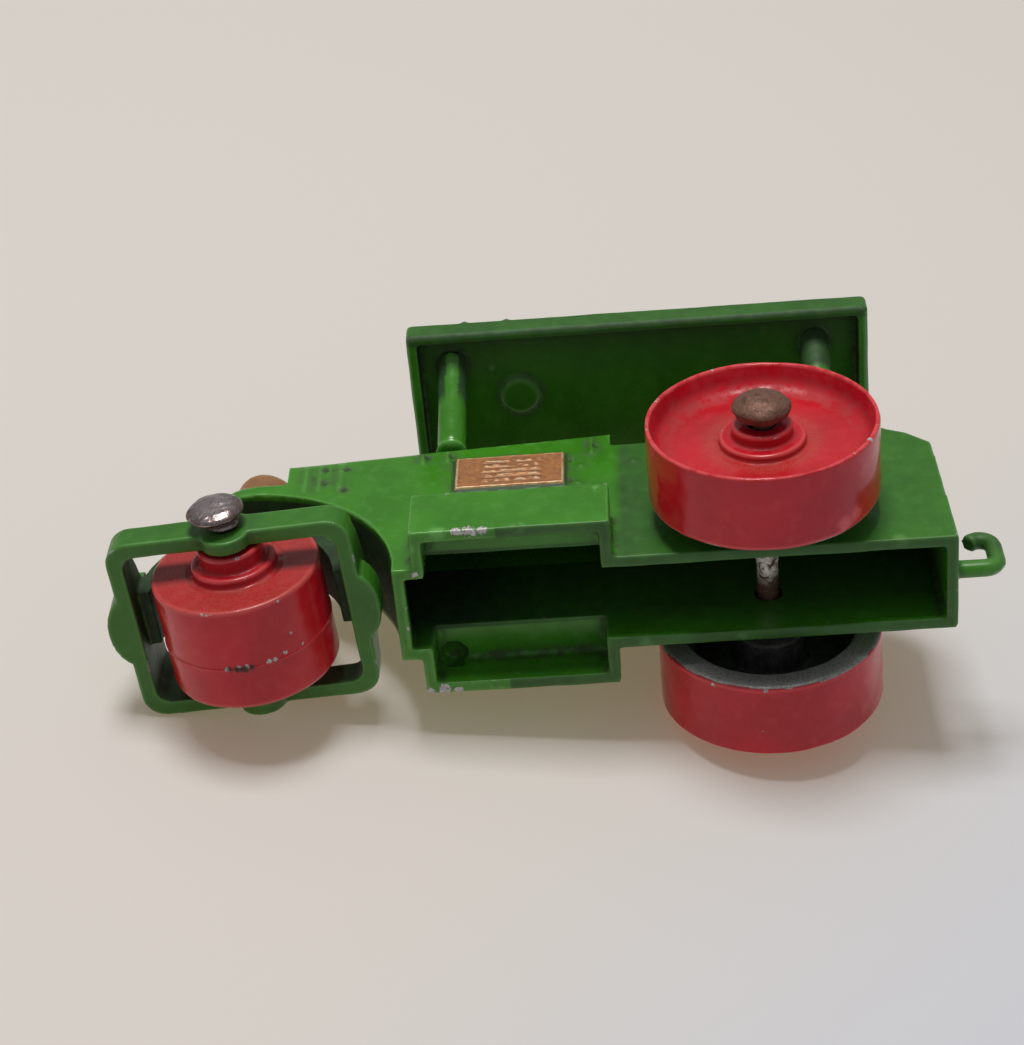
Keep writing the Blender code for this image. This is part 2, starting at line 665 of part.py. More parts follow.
def add_post(canopy, label, side, top, foot, ground):
    """A leaning round post on a flared foot that stands just clear of the body."""
    lift = GAP + 0.1 * MM
    foot_point = Vector((side * foot[1], -foot[0], ground + lift))
    root = ROOF_BOTTOM + ROOF_RECESS + 0.2 * MM
    top_point = Vector((side * top[1], -top[0], root))
    start = foot_point + Vector((0, 0, POST_LIFT))
    post = rod_mesh(label + "_post", start, top_point, POST_RADIUS, steps=16)
    boolean(canopy, add(label + "_post", post, CUTTERS), "UNION")
    flare_top = foot_point + Vector((0, 0, FOOT_HEIGHT))
    flare = rod_mesh(
        label + "_foot", foot_point, flare_top, FOOT_RADIUS, POST_RADIUS * 0.9, steps=18
    )
    boolean(canopy, add(label + "_foot", flare, CUTTERS), "UNION")


def make_canopy():
    low = Vector((-ROOF_HALF_WIDTH, -ROOF_FRONT, ROOF_BOTTOM))
    high = Vector((ROOF_HALF_WIDTH, -ROOF_REAR, ROOF_TOP))
    canopy = add("canopy", box_mesh("canopy", low, high))
    bevel = canopy.modifiers.new("rounded_edges", "BEVEL")
    bevel.width = 0.25 * MM
    bevel.segments = 2
    rim = Vector((ROOF_RIM, ROOF_RIM, 0))
    hollow_low = low + rim - Vector((0, 0, 1 * MM))
    hollow_high = high - rim
    hollow_high.z = ROOF_BOTTOM + ROOF_RECESS
    hollow = add("roof_hollow", box_mesh("roof_hollow", hollow_low, hollow_high), CUTTERS)
    boolean(canopy, hollow)
    for label, side in (("left", 1), ("right", -1)):
        ground = hood_top(FRONT_POST_FOOT[0])
        add_post(canopy, "front_" + label, side, FRONT_POST_TOP, FRONT_POST_FOOT, ground)
        add_post(canopy, "rear_" + label, side, REAR_POST_TOP, REAR_POST_FOOT, DECK_TOP)
    return finish(bake(canopy), GREEN)


# ---------------------------------------------------------------- stance and assembly

def stand_on_ground():
    """Tilts the chassis and puts the origin under the middle of the toy's box."""
    CHASSIS.rotation_euler.x = -TILT
    bpy.context.view_layer.update()
    places = []
    for part in PARTS.objects:
        if part.type == "MESH":
            places += [part.matrix_world @ vertex.co for vertex in part.data.vertices]
    low = Vector([min(place[axis] for place in places) for axis in range(3)])
    high = Vector([max(place[axis] for place in places) for axis in range(3)])
    CHASSIS.location = (-(low.x + high.x) / 2, -(low.y + high.y) / 2, -low.z)


make_body()
make_canopy()
make_kingpin()
front_yoke = make_yoke()
front_yoke.rotation_euler.z = STEER_AT_REST
make_front_roller(front_yoke)
make_front_pin(front_yoke)
make_rear_axle()
make_rear_roller("rear_roller_left", 1)
make_rear_roller("rear_roller_right", -1)
stand_on_ground()
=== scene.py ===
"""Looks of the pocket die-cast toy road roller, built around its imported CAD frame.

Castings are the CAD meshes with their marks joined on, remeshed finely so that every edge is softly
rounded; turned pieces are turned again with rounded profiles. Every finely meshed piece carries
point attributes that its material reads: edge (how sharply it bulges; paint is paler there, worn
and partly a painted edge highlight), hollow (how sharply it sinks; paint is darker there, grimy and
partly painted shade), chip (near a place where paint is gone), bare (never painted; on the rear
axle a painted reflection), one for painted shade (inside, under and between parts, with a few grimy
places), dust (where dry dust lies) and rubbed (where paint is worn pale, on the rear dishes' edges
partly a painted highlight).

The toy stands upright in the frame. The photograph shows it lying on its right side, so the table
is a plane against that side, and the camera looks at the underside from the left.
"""
import json
import math

import bmesh
import bpy
import numpy as np
from mathutils import Matrix, Vector


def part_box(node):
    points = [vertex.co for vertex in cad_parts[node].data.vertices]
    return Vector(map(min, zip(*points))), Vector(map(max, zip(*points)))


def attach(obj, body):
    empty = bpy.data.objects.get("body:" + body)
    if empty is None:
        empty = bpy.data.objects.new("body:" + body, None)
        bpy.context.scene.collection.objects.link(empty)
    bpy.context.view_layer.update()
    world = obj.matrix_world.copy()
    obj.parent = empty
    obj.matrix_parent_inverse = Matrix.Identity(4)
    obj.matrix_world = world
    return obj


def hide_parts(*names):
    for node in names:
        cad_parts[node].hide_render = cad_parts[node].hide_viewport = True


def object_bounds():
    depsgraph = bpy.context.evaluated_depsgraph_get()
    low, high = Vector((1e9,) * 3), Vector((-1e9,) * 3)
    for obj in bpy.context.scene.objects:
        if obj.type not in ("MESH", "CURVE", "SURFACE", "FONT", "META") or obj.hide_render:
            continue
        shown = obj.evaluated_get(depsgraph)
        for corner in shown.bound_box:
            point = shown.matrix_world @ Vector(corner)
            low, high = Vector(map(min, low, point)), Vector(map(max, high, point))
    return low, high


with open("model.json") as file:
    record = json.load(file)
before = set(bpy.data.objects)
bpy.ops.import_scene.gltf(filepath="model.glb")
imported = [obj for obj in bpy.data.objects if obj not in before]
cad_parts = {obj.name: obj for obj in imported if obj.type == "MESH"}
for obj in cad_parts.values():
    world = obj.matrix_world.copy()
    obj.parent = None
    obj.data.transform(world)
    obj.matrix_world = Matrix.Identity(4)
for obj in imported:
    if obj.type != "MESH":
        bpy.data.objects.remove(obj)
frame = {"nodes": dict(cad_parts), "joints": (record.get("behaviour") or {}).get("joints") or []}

cad_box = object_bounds()
MM = 0.001

# ---------------------------------------------------------------- places taken from the frame

JOINTS = {joint["name"]: joint for joint in frame["joints"]}
UP = Vector(JOINTS["steering"]["axis"]).normalized()
ACROSS = Vector((1, 0, 0))


def middle(node):
    low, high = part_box(node)
    return (low + high) / 2


def placing(across, up, origin):
    """A matrix whose X runs along across and whose Z runs as near to up as it can."""
    across = across.normalized()
    back = up.cross(across).normalized()
    turn = Matrix((across, back, across.cross(back))).transposed()
    return Matrix.Translation(origin) @ turn.to_4x4()


# In the chassis's own axes the rear axle is the origin, X is left, Y is back and Z is up.
CHASSIS = placing(ACROSS, UP, middle("rear_axle"))
YOKE = placing(
    Vector(JOINTS["front_roller_spin"]["axis"]),
    UP,
    Vector(JOINTS["front_roller_spin"]["pos_m"]),
)
REAR_RADIUS = 7.3 * MM


def spot(station, across, height):
    """A chassis place from millimetres ahead of the rear axle, to the left, and above ground."""
    return Vector((across * MM, -station * MM, height * MM - REAR_RADIUS))


# ---------------------------------------------------------------- meshes

def new_object(name, mesh):
    made = bpy.data.objects.new(name, mesh)
    bpy.context.scene.collection.objects.link(made)
    return made


def mesh_from(name, places, faces):
    mesh = bpy.data.meshes.new(name)
    mesh.from_pydata([tuple(place) for place in places], [], [tuple(face) for face in faces])
    mesh.update()
    return mesh


def tidy_mesh(mesh, distance=0.000001):
    """Welds doubled points and turns every face outward."""
    shape = bmesh.new()
    shape.from_mesh(mesh)
    bmesh.ops.remove_doubles(shape, verts=shape.verts, dist=distance)
    bmesh.ops.recalc_face_normals(shape, faces=shape.faces)
    shape.to_mesh(mesh)
    shape.free()
    return mesh


def evaluated_copy(thing):
    bpy.context.view_layer.update()
    evaluated = thing.evaluated_get(bpy.context.evaluated_depsgraph_get())
    return bpy.data.meshes.new_from_object(evaluated)


def points_of(mesh):
    places = np.empty(len(mesh.vertices) * 3, np.float32)
    mesh.vertices.foreach_get("co", places)
    return places.reshape(-1, 3).astype(float)


def set_points(mesh, places):
    mesh.vertices.foreach_set("co", places.astype(np.float32).ravel())
    mesh.update()


def normals_of(mesh):
    normals = np.empty(len(mesh.vertices) * 3, np.float32)
    mesh.vertex_normals.foreach_get("vector", normals)
    return normals.reshape(-1, 3).astype(float)


def edges_of(mesh):
    ends = np.empty(len(mesh.edges) * 2, np.int32)
    mesh.edges.foreach_get("vertices", ends)
    return ends.reshape(-1, 2)


class Neighbours:
    """Averages values over each point's neighbours along the mesh's edges."""

    def __init__(self, mesh):
        ends = edges_of(mesh)
        self.here = np.concatenate((ends[:, 0], ends[:, 1]))
        self.there = np.concatenate((ends[:, 1], ends[:, 0]))
        self.count = len(mesh.vertices)
        self.tally = np.maximum(np.bincount(self.here, minlength=self.count), 1)

    def mean(self, values):
        if values.ndim == 1:
            sums = np.bincount(self.here, values[self.there], self.count)
            return sums / self.tally
        return np.stack([self.mean(values[:, i]) for i in range(values.shape[1])], axis=1)

    def spread(self, values, times):
        for _ in range(times):
            values = (values + self.mean(values)) / 2
        return values


def ripple(places, size, seed):
    """Smooth unevenness, mostly between -1 and 1, in bumps of about the given size."""
    draw = np.random.default_rng(seed)
    total = np.zeros(len(places))
    waves = 14
    for _ in range(waves):
        direction = draw.normal(size=3)
        direction *= math.tau / (size * 2 * np.linalg.norm(direction)) * draw.uniform(0.6, 1.5)
        total += np.sin(places @ direction + draw.uniform(0, math.tau))
    return total / math.sqrt(waves)


def store(mesh, name, values):
    attribute = mesh.attributes.new(name, "FLOAT", "POINT")
    attribute.data.foreach_set("value", np.clip(values, 0, 1).astype(np.float32))


def chip_field(places, chips):
    """1 at the middle of each chip, falling to 0 at its radius. A chip is (place, radius)."""
    field = np.zeros(len(places))
    for place, radius in chips:
        away = np.linalg.norm(places - np.array(place), axis=1)
        field = np.maximum(field, 1 - away / radius)
    return np.clip(field, 0, 1)


def finish_surface(piece, chips=(), wave=0.012 * MM, wave_size=2.5 * MM, seed=1, **marks):
    """Adds the slight unevenness of a casting and stores the attributes that paint reads.

    Each of marks is a function of places and normals that gives one attribute's values.
    """
    mesh = piece.data
    near = Neighbours(mesh)
    places = points_of(mesh)
    normals = normals_of(mesh)
    ends = edges_of(mesh)
    spacing = np.linalg.norm(places[ends[:, 0]] - places[ends[:, 1]], axis=1).mean()
    bend = ((places - near.mean(places)) * normals).sum(axis=1) / spacing
    reach = max(2, int(0.16 * MM / spacing + 0.5))
    edge = near.spread(np.clip(bend, 0, None), reach) * 9
    hollow = near.spread(np.clip(-bend, 0, None), 4 * reach) * 24
    store(mesh, "edge", edge)
    store(mesh, "hollow", hollow)
    store(mesh, "chip", chip_field(places, chips))
    # One of these marks is painted shade: inside, under and between parts, with a few grimy places.
    for label in ("bare", "deep", "dust", "rubbed"):
        store(mesh, label, marks[label](places, normals) if label in marks else 0 * edge)
    uneven = ripple(places, wave_size, seed) + 0.5 * ripple(places, wave_size / 3, seed + 1)
    set_points(mesh, places + normals * (uneven * wave)[:, None])
    mesh.shade_smooth()
    return piece


# ---------------------------------------------------------------- small shapes joined onto castings

def block(low, high):
    """A closed box from corner to corner."""
    shape = bmesh.new()
    bmesh.ops.create_cube(shape, size=1)
    low = Vector(low)
    high = Vector(high)
    bmesh.ops.scale(shape, vec=high - low, verts=shape.verts)
    bmesh.ops.translate(shape, vec=(high + low) / 2, verts=shape.verts)
    return shape


def stud(centre, radius, reach, axis):
    """A round-ended lump, radius wide and reaching out along axis."""
    shape = bmesh.new()
    bmesh.ops.create_icosphere(shape, subdivisions=3, radius=1)
    turn = Vector(axis).to_track_quat("Z", "Y").to_matrix().to_4x4()
    size = Matrix.Diagonal((radius, radius, reach, 1))
    bmesh.ops.transform(shape, matrix=Matrix.Translation(centre) @ turn @ size, verts=shape.verts)
    return shape


def disc(start, end, radius, steps=40):
    shape = bmesh.new()
    depth = (end - start).length
    bmesh.ops.create_cone(
        shape, cap_ends=True, segments=steps, radius1=radius, radius2=radius, depth=depth
    )
    turn = (end - start).to_track_quat("Z", "Y").to_matrix().to_4x4()
    bmesh.ops.transform(
        shape, matrix=Matrix.Translation((start + end) / 2) @ turn, verts=shape.verts
    )
    return shape


def join_shapes(mesh, shapes):
    whole = bmesh.new()
    whole.from_mesh(mesh)
    for shape in shapes:
        part = bpy.data.meshes.new("part")
        shape.to_mesh(part)
        shape.free()
        whole.from_mesh(part)
        bpy.data.meshes.remove(part)
    whole.to_mesh(mesh)
    whole.free()
    return mesh


def cut_shape(mesh, shape):
    """Cuts a closed shape out of a closed mesh."""
    tool_mesh = bpy.data.meshes.new("cutter")
    shape.to_mesh(tool_mesh)
    shape.free()
    tool = new_object("cutter", tool_mesh)
    work = new_object("work", mesh)
    step = work.modifiers.new("cut", "BOOLEAN")
    step.object = tool
    step.operation = "DIFFERENCE"
    step.solver = "EXACT"
    result = evaluated_copy(work)
    bpy.data.objects.remove(work)
    bpy.data.objects.remove(tool)
    return result


def casting(node, name, place, body, shapes=(), cuts=(), voxel=0.13 * MM, soften=3):
    """The CAD node with marks joined on, remeshed so that its edges are softly rounded."""
    mesh = frame["nodes"][node].data.copy()
    mesh.materials.clear()
    mesh.transform(place.inverted())
    tidy_mesh(mesh)
    for shape in cuts:
        mesh = cut_shape(mesh, shape)
    join_shapes(mesh, shapes)
    work = new_object("work", mesh)
    step = work.modifiers.new("remesh", "REMESH")
    step.mode = "VOXEL"
    step.voxel_size = voxel
    fine = evaluated_copy(work)
    bpy.data.objects.remove(work)
    near = Neighbours(fine)
    places = points_of(fine)
    for _ in range(soften):
        places = places + 0.6 * (near.mean(places) - places)
        places = places - 0.3 * (near.mean(places) - places)
    set_points(fine, places)
    piece = new_object(name, fine)
    piece.matrix_world = place
    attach(piece, body)
    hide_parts(node)
    return piece


def round_ridge(piece, half_width, top, radius, stations):
    """Rounds the two long top edges of a ridge whose top slopes: top(y) is its height."""
    places = points_of(piece.data)
    inside = (places[:, 1] > stations[0]) & (places[:, 1] < stations[1])
    for side in (1, -1):
        across = side * places[:, 0] - (half_width - radius)
        up = places[:, 2] - (top(places[:, 1]) - radius)
        away = np.hypot(across, up)
        corner = inside & (across > 0) & (up > 0) & (away > radius)
        scale = np.where(corner, radius / np.maximum(away, 1e-9), 1.0)
        places[:, 0] += side * across * (scale - 1)
        places[:, 2] += up * (scale - 1)
    set_points(piece.data, places)


# ---------------------------------------------------------------- turned shapes

def rounded(points, radii, spacing, closed):
    """A profile through the points with its corners rounded, with a point about every spacing."""
    count = len(points)
    corners = []
    for i, (point, radius) in enumerate(zip(points, radii)):
        here = np.array(point, float)
        if not closed and i in (0, count - 1):
            corners.append([here])
            continue
        before = np.array(points[i - 1], float) - here
        after = np.array(points[(i + 1) % count], float) - here
        reach = min(radius, 0.45 * np.linalg.norm(before), 0.45 * np.linalg.norm(after))
        start = here + before / np.linalg.norm(before) * reach
        end = here + after / np.linalg.norm(after) * reach
        steps = max(2, int(1.5 * reach / spacing) + 1)
        bend = []
        for j in range(steps + 1):
            t = j / steps
            bend.append((1 - t) ** 2 * start + 2 * t * (1 - t) * here + t * t * end)
        corners.append(bend)
    line = []
    for i, bend in enumerate(corners):
        line += bend
        if not closed and i == count - 1:
            break
        start = bend[-1]
        end = corners[(i + 1) % count][0]
        steps = int(np.linalg.norm(end - start) / spacing)
        line += [start + (end - start) * j / (steps + 1) for j in range(1, steps + 1)]
    return np.array(line)


def lathe(name, points, radii, steps, spacing=0.14 * MM, closed=True):
    """Turns a (radius, along) profile about the piece's own X axis."""
    line = rounded(points, radii, spacing, closed)
    angles = np.arange(steps) * math.tau / steps
    count = len(line)
    places = np.empty((steps, count, 3))
    places[:, :, 0] = line[None, :, 1]
    places[:, :, 1] = line[None, :, 0] * np.cos(angles)[:, None]
    places[:, :, 2] = line[None, :, 0] * np.sin(angles)[:, None]
    faces = []
    last = count if closed else count - 1
    for i in range(steps):
        ring = i * count
        next_ring = ((i + 1) % steps) * count
        for j in range(last):
            k = (j + 1) % count
            faces.append((ring + j, ring + k, next_ring + k, next_ring + j))
    mesh = mesh_from(name, places.reshape(-1, 3), faces)
    return new_object(name, tidy_mesh(mesh, 0.0000005))


def place_piece(piece, place, body, node):
    piece.matrix_world = place
    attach(piece, body)
    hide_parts(node)
    return piece


def dome(radius, base, top, steps=7):
    """Points of a domed head from its tip on the axis down to its rim."""
    points = [(0.0, top)]
    for i in range(1, steps + 1):
        angle = math.pi / 2 * i / steps
        points.append((radius * math.sin(angle), base + (top - base) * math.cos(angle)))
    return points


# ---------------------------------------------------------------- materials

class Shader:
    """Short ways to add and join a material's nodes."""

    def __init__(self, name):
        self.material = bpy.data.materials.new(name)
        self.material.use_nodes = True
        self.nodes = self.material.node_tree.nodes
        self.links = self.material.node_tree.links
        self.surface = self.nodes["Principled BSDF"]
        self.place = self.nodes.new("ShaderNodeTexCoord").outputs["Object"]

    def feed(self, socket, value):
        if isinstance(value, bpy.types.NodeSocket):
            self.links.new(value, socket)
        else:
            socket.default_value = value

    def set(self, **values):
        for name, value in values.items():
            self.feed(self.surface.inputs[name.replace("_", " ")], value)

    def math(self, operation, first, second=0.0, clamp=False):
        node = self.nodes.new("ShaderNodeMath")
        node.operation = operation
        node.use_clamp = clamp
        self.feed(node.inputs[0], first)
        self.feed(node.inputs[1], second)
        return node.outputs[0]

    def noise(self, size, detail=2.0, roughness=0.5, distortion=0.0, stretch=None):
        """Noise in patches of about the given size in metres."""
        node = self.nodes.new("ShaderNodeTexNoise")
        node.inputs["Scale"].default_value = 1 / size
        node.inputs["Detail"].default_value = detail
        node.inputs["Roughness"].default_value = roughness
        node.inputs["Distortion"].default_value = distortion
        place = self.place
        if stretch is not None:
            scaled = self.nodes.new("ShaderNodeVectorMath")
            scaled.operation = "MULTIPLY"
            self.links.new(place, scaled.inputs[0])
            scaled.inputs[1].default_value = stretch
            place = scaled.outputs[0]
        self.links.new(place, node.inputs["Vector"])
        return node.outputs["Fac"]

    def cells(self, size, randomness=1.0):
        node = self.nodes.new("ShaderNodeTexVoronoi")
        node.inputs["Scale"].default_value = 1 / size
        node.inputs["Randomness"].default_value = randomness
        self.links.new(self.place, node.inputs["Vector"])
        return node

    def span(self, value, low, high, smooth=True):
        """0 below low and 1 above high."""
        node = self.nodes.new("ShaderNodeMapRange")
        node.interpolation_type = "SMOOTHSTEP" if smooth else "LINEAR"
        node.inputs["From Min"].default_value = low
        node.inputs["From Max"].default_value = high
        self.feed(node.inputs["Value"], value)
        return node.outputs["Result"]

    def mix(self, share, first, second):
        node = self.nodes.new("ShaderNodeMix")
        node.data_type = "RGBA"
        self.feed(node.inputs[0], share)
        self.feed(node.inputs[6], first)
        self.feed(node.inputs[7], second)
        return node.outputs[2]

    def blend(self, share, first, second):
        """A number between first and second."""
        node = self.nodes.new("ShaderNodeMix")
        self.feed(node.inputs[0], share)
        self.feed(node.inputs[2], first)
        self.feed(node.inputs[3], second)
        return node.outputs[0]

    def attribute(self, name):
        node = self.nodes.new("ShaderNodeAttribute")
        node.attribute_name = name
        return node.outputs["Fac"]

    def bump(self, height, distance, strength=1.0, below=None):
        node = self.nodes.new("ShaderNodeBump")
        node.inputs["Distance"].default_value = distance
        node.inputs["Strength"].default_value = strength
        self.feed(node.inputs["Height"], height)
        if below is not None:
            self.links.new(below, node.inputs["Normal"])
        return node.outputs["Normal"]


ZINC = (0.56, 0.55, 0.53, 1)
ZINC_DULL = (0.33, 0.31, 0.315, 1)
# Darker colour for hollows and corners: grimy paint, and partly painted shade.
GRIME_AND_SHADE = (0.030, 0.026, 0.018, 1)
# Near-black for painted shade, and in a few places sooty paint.
SHADE_AND_SOOT = (0.012, 0.016, 0.013, 1)
DUST = (0.33, 0.135, 0.085, 1)
# Bright steel, used as a painted reflection where steel is marked bare.
REFLECTION_STEEL = (0.90, 0.86, 0.78, 1)


def enamel(name, colour, dark, pale, edge_wear, specks, corner_grime_and_shade, sheen):
    """Old glossy enamel on a zinc casting, chipped; edges paler (worn, partly painted highlight);
    corners darker (grimy, partly painted shade).
    """
    s = Shader(name)
    broad = s.noise(4.5 * MM, 2)
    blotch = s.noise(0.9 * MM, 3, 0.6)
    grain = s.noise(0.16 * MM, 3, 0.6)
    edge = s.attribute("edge")
    hollow = s.attribute("hollow")

    paint = s.mix(s.span(broad, 0.35, 0.68), colour, dark)
    patch = s.math("MULTIPLY", s.span(blotch, 0.45, 0.75), 0.16)
    paint = s.mix(patch, paint, pale)
    # Paler on sharp edges: worn paint, and partly a painted edge highlight.
    thin_paint_and_highlight = s.math("MULTIPLY", s.span(edge, 0.15, 0.9), 0.60)
    rubbed = s.math("MULTIPLY", s.attribute("rubbed"), s.span(blotch, 0.30, 0.55))
    paint = s.mix(s.math("MAXIMUM", thin_paint_and_highlight, rubbed), paint, pale)
    # Darker in hollows and corners: grimy paint, and partly painted shade.
    hollow_grime_and_shade = s.math("MULTIPLY", hollow, s.span(blotch, 0.30, 0.62))
    paint = s.mix(s.math("MULTIPLY", hollow_grime_and_shade, corner_grime_and_shade, clamp=True), paint, GRIME_AND_SHADE)
    dust = s.math("MULTIPLY", s.attribute("dust"), s.blend(s.span(grain, 0.3, 0.7), 0.35, 1.0))
    paint = s.mix(dust, paint, DUST)
    # Painted shade, near black, where the piece marks it; in a few places grimy paint.
    shade_and_soot = s.math("MULTIPLY", s.attribute("deep"), s.blend(s.span(blotch, 0.3, 0.7), 0.95, 0.80))
    paint = s.mix(shade_and_soot, paint, SHADE_AND_SOOT)

    torn = s.blend(0.45, blotch, grain)
    worn = s.math("MULTIPLY", edge, edge_wear)
    patchy = s.span(s.noise(2.6 * MM, 2), 0.46, 0.66)
    worn = s.math("MULTIPLY", worn, s.math("ADD", 0.35, patchy))
    field = s.math("MAXIMUM", s.attribute("chip"), worn)
    field = s.math("ADD", field, s.math("MULTIPLY", s.math("SUBTRACT", torn, 0.5), 1.3))
    unpainted = s.math("MULTIPLY", s.attribute("bare"), 2)
    field = s.math("MAXIMUM", field, unpainted)
    gone = s.span(field, 0.60, 0.66)

    dots = s.cells(1.15 * MM)
    near_dot = s.math("LESS_THAN", dots.outputs["Distance"], 0.055)
    some = s.math("GREATER_THAN", dots.outputs["Color"], 1 - specks)
    speck = s.math("MULTIPLY", near_dot, some)

    metal = s.mix(s.span(grain, 0.35, 0.65), ZINC_DULL, ZINC)
    metal = s.mix(shade_and_soot, metal, SHADE_AND_SOOT)
    shade = s.mix(gone, paint, metal)
    s.set(Base_Color=s.mix(s.math("MULTIPLY", speck, 0.7), shade, pale))
    s.set(Metallic=s.math("MULTIPLY", gone, 0.20))
    gloss = s.blend(s.span(blotch, 0.3, 0.7), sheen, 1.5 * sheen)
    gloss = s.blend(s.math("MAXIMUM", s.math("MAXIMUM", hollow_grime_and_shade, shade_and_soot), dust), gloss, 0.74)
    s.set(Roughness=s.blend(gone, gloss, 0.48))
    s.set(Specular_IOR_Level=0.42)
    skin = s.bump(s.noise(0.55 * MM, 2), 0.004 * MM)
    skin = s.bump(grain, 0.0022 * MM, below=skin)
    lump = s.math("MULTIPLY", speck, 0.6)
    s.set(Normal=s.bump(s.math("SUBTRACT", lump, gone), 0.030 * MM, below=skin))
    return s.material


def pitted_metal(name, bright, dark, spot_colour, roughness, pitting, metallic):
    """Plain steel: pitted, stained in the hollows, darkened by painted shade where marked, painted
    bright as a reflection where marked bare.
    """
    s = Shader(name)
    blotch = s.noise(0.55 * MM, 4, 0.65, 0.6)
    grain = s.noise(0.10 * MM, 3, 0.6)
    hollow = s.attribute("hollow")
    stain = s.span(s.math("ADD", blotch, s.math("MULTIPLY", hollow, 0.5)), 0.46, 0.72)
    tone = s.mix(s.span(grain, 0.35, 0.65), bright, dark)
    # Painted shade where the piece marks it.
    painted_shade = s.math("MULTIPLY", s.attribute("deep"), s.span(blotch, 0.25, 0.60))
    shade = s.mix(s.math("MAXIMUM", stain, painted_shade), tone, spot_colour)
    # A painted reflection: bright steel where the piece is marked bare.
    painted_reflection_share = s.math("MULTIPLY", s.attribute("bare"), s.span(blotch, 0.62, 0.40))
    s.set(Base_Color=s.mix(painted_reflection_share, shade, REFLECTION_STEEL))
    s.set(Metallic=s.blend(painted_reflection_share, s.blend(stain, metallic, metallic * 0.5), 0.1))
    dull = s.blend(stain, roughness, min(roughness + 0.3, 0.9))
    s.set(Roughness=s.blend(painted_reflection_share, dull, 0.30))
    pits = s.span(s.noise(0.22 * MM, 3, 0.55), 0.36, 0.62)
    s.set(Normal=s.bump(s.blend(0.35, pits, grain), pitting))
    return s.material


def gold_paint(name):
    """Copper-gold paint, rubbed bright on the relief and thinner at the edges; hollows darker
    (grimy, partly painted shade).
    """
    s = Shader(name)
    blotch = s.noise(0.6 * MM, 3, 0.6)
    grain = s.noise(0.09 * MM, 3, 0.65)
    edge = s.attribute("edge")
    tone = s.mix(s.span(blotch, 0.35, 0.65), (0.47, 0.185, 0.062, 1), (0.36, 0.145, 0.060, 1))
    flake = s.span(grain, 0.42, 0.70)
    tone = s.mix(s.math("MULTIPLY", flake, 0.45), tone, (0.62, 0.36, 0.17, 1))
    rubbed = s.math("MULTIPLY", s.span(edge, 0.10, 0.75), s.span(blotch, 0.30, 0.60))
    tone = s.mix(s.math("MULTIPLY", rubbed, 0.7), tone, (0.86, 0.66, 0.38, 1))
    # Darker in the hollows: grimy paint, and partly painted shade.
    tone = s.mix(s.math("MULTIPLY", s.attribute("hollow"), 0.7), tone, (0.13, 0.06, 0.03, 1))
    tone = s.mix(s.math("MULTIPLY", s.attribute("deep"), 0.6), tone, (0.06, 0.075, 0.03, 1))
    s.set(Base_Color=tone, Metallic=0.35)
    s.set(Roughness=s.blend(grain, 0.36, 0.60))
    s.set(Normal=s.bump(grain, 0.012 * MM))
    return s.material


GREEN = (0.048, 0.230, 0.012, 1)
GREEN_DARK = (0.038, 0.185, 0.010, 1)
GREEN_PALE = (0.120, 0.360, 0.070, 1)
RED = (0.55, 0.007, 0.020, 1)
RED_DARK = (0.44, 0.006, 0.015, 1)
RED_PALE = (0.72, 0.085, 0.090, 1)

green = enamel("green_enamel", GREEN, GREEN_DARK, GREEN_PALE, 0.50, 0.05, 0.70, 0.20)
red = enamel("red_enamel", RED, RED_DARK, RED_PALE, 0.42, 0.06, 0.22, 0.14)
steel = pitted_metal(
    "nail_steel", (0.56, 0.51, 0.50, 1), (0.36, 0.30, 0.30, 1), (0.12, 0.070, 0.065, 1),
    0.28, 0.010 * MM, 1.0,
)
rust = pitted_metal(
    "rusty_steel", (0.21, 0.105, 0.070, 1), (0.14, 0.064, 0.042, 1), (0.085, 0.036, 0.022, 1),
    0.52, 0.016 * MM, 0.45,
)
gold = gold_paint("copper_gold_paint")

# ---------------------------------------------------------------- body casting

HALF_WIDTH = 3.45
HOOD_REAR = 9.7
HOOD_FRONT = 31.35
HOOD_REAR_TOP = 18.85
HOOD_FRONT_TOP = 17.15


def hood_top(station):
    share = (station - HOOD_REAR) / (HOOD_FRONT - HOOD_REAR)
    return HOOD_REAR_TOP + share * (HOOD_FRONT_TOP - HOOD_REAR_TOP)


def hood_rib(side, station, width, bottom, top, proud):
    """An upright rib on the hood's side, standing out by proud."""
    root = side * (HALF_WIDTH - 0.4)
    tip = side * (HALF_WIDTH + proud)
    low = spot(station + width / 2, min(root, tip), bottom)
    high = spot(station - width / 2, max(root, tip), top)
    return block(low, high)


def hood_marks():
    """Louvre ribs, fine lines and pips on both sides of the hood."""
    shapes = []
    for side in (1, -1):
        for station in (30.1, 29.15, 27.75):
            shapes.append(hood_rib(side, station, 0.20, 13.3, 16.6, 0.12))
        for station in (28.55, 27.2):
            shapes.append(hood_rib(side, station, 0.18, 13.3, 16.4, 0.07))
        for station in (22.3, 20.62, 10.98):
            shapes.append(hood_rib(side, station, 0.20, 15.9, hood_top(station) - 0.6, 0.16))
        shapes.append(hood_rib(side, 20.52, 0.16, 12.0, 16.0, 0.08))
        shapes.append(hood_rib(side, 12.30, 0.14, 12.0, 15.9, 0.08))
        pips = ((22.3, 15.9), (20.65, 16.1), (10.9, 16.3), (11.7, 14.4), (11.9, 12.2), (8.2, 14.6))
        for station, height in pips:
            place = spot(station, side * HALF_WIDTH, height)
            shapes.append(stud(place, 0.20 * MM, 0.16 * MM, (side, 0, 0)))
    return shapes


# Small dimples in the hood's sides, as (station, height)
HOOD_PITS = [
    (28.83, 15.95), (28.78, 14.25), (27.45, 15.85), (27.45, 13.3), (22.0, 16.7),
    (20.4, 16.7), (10.75, 16.9), (12.5, 15.2), (12.5, 12.6),
]


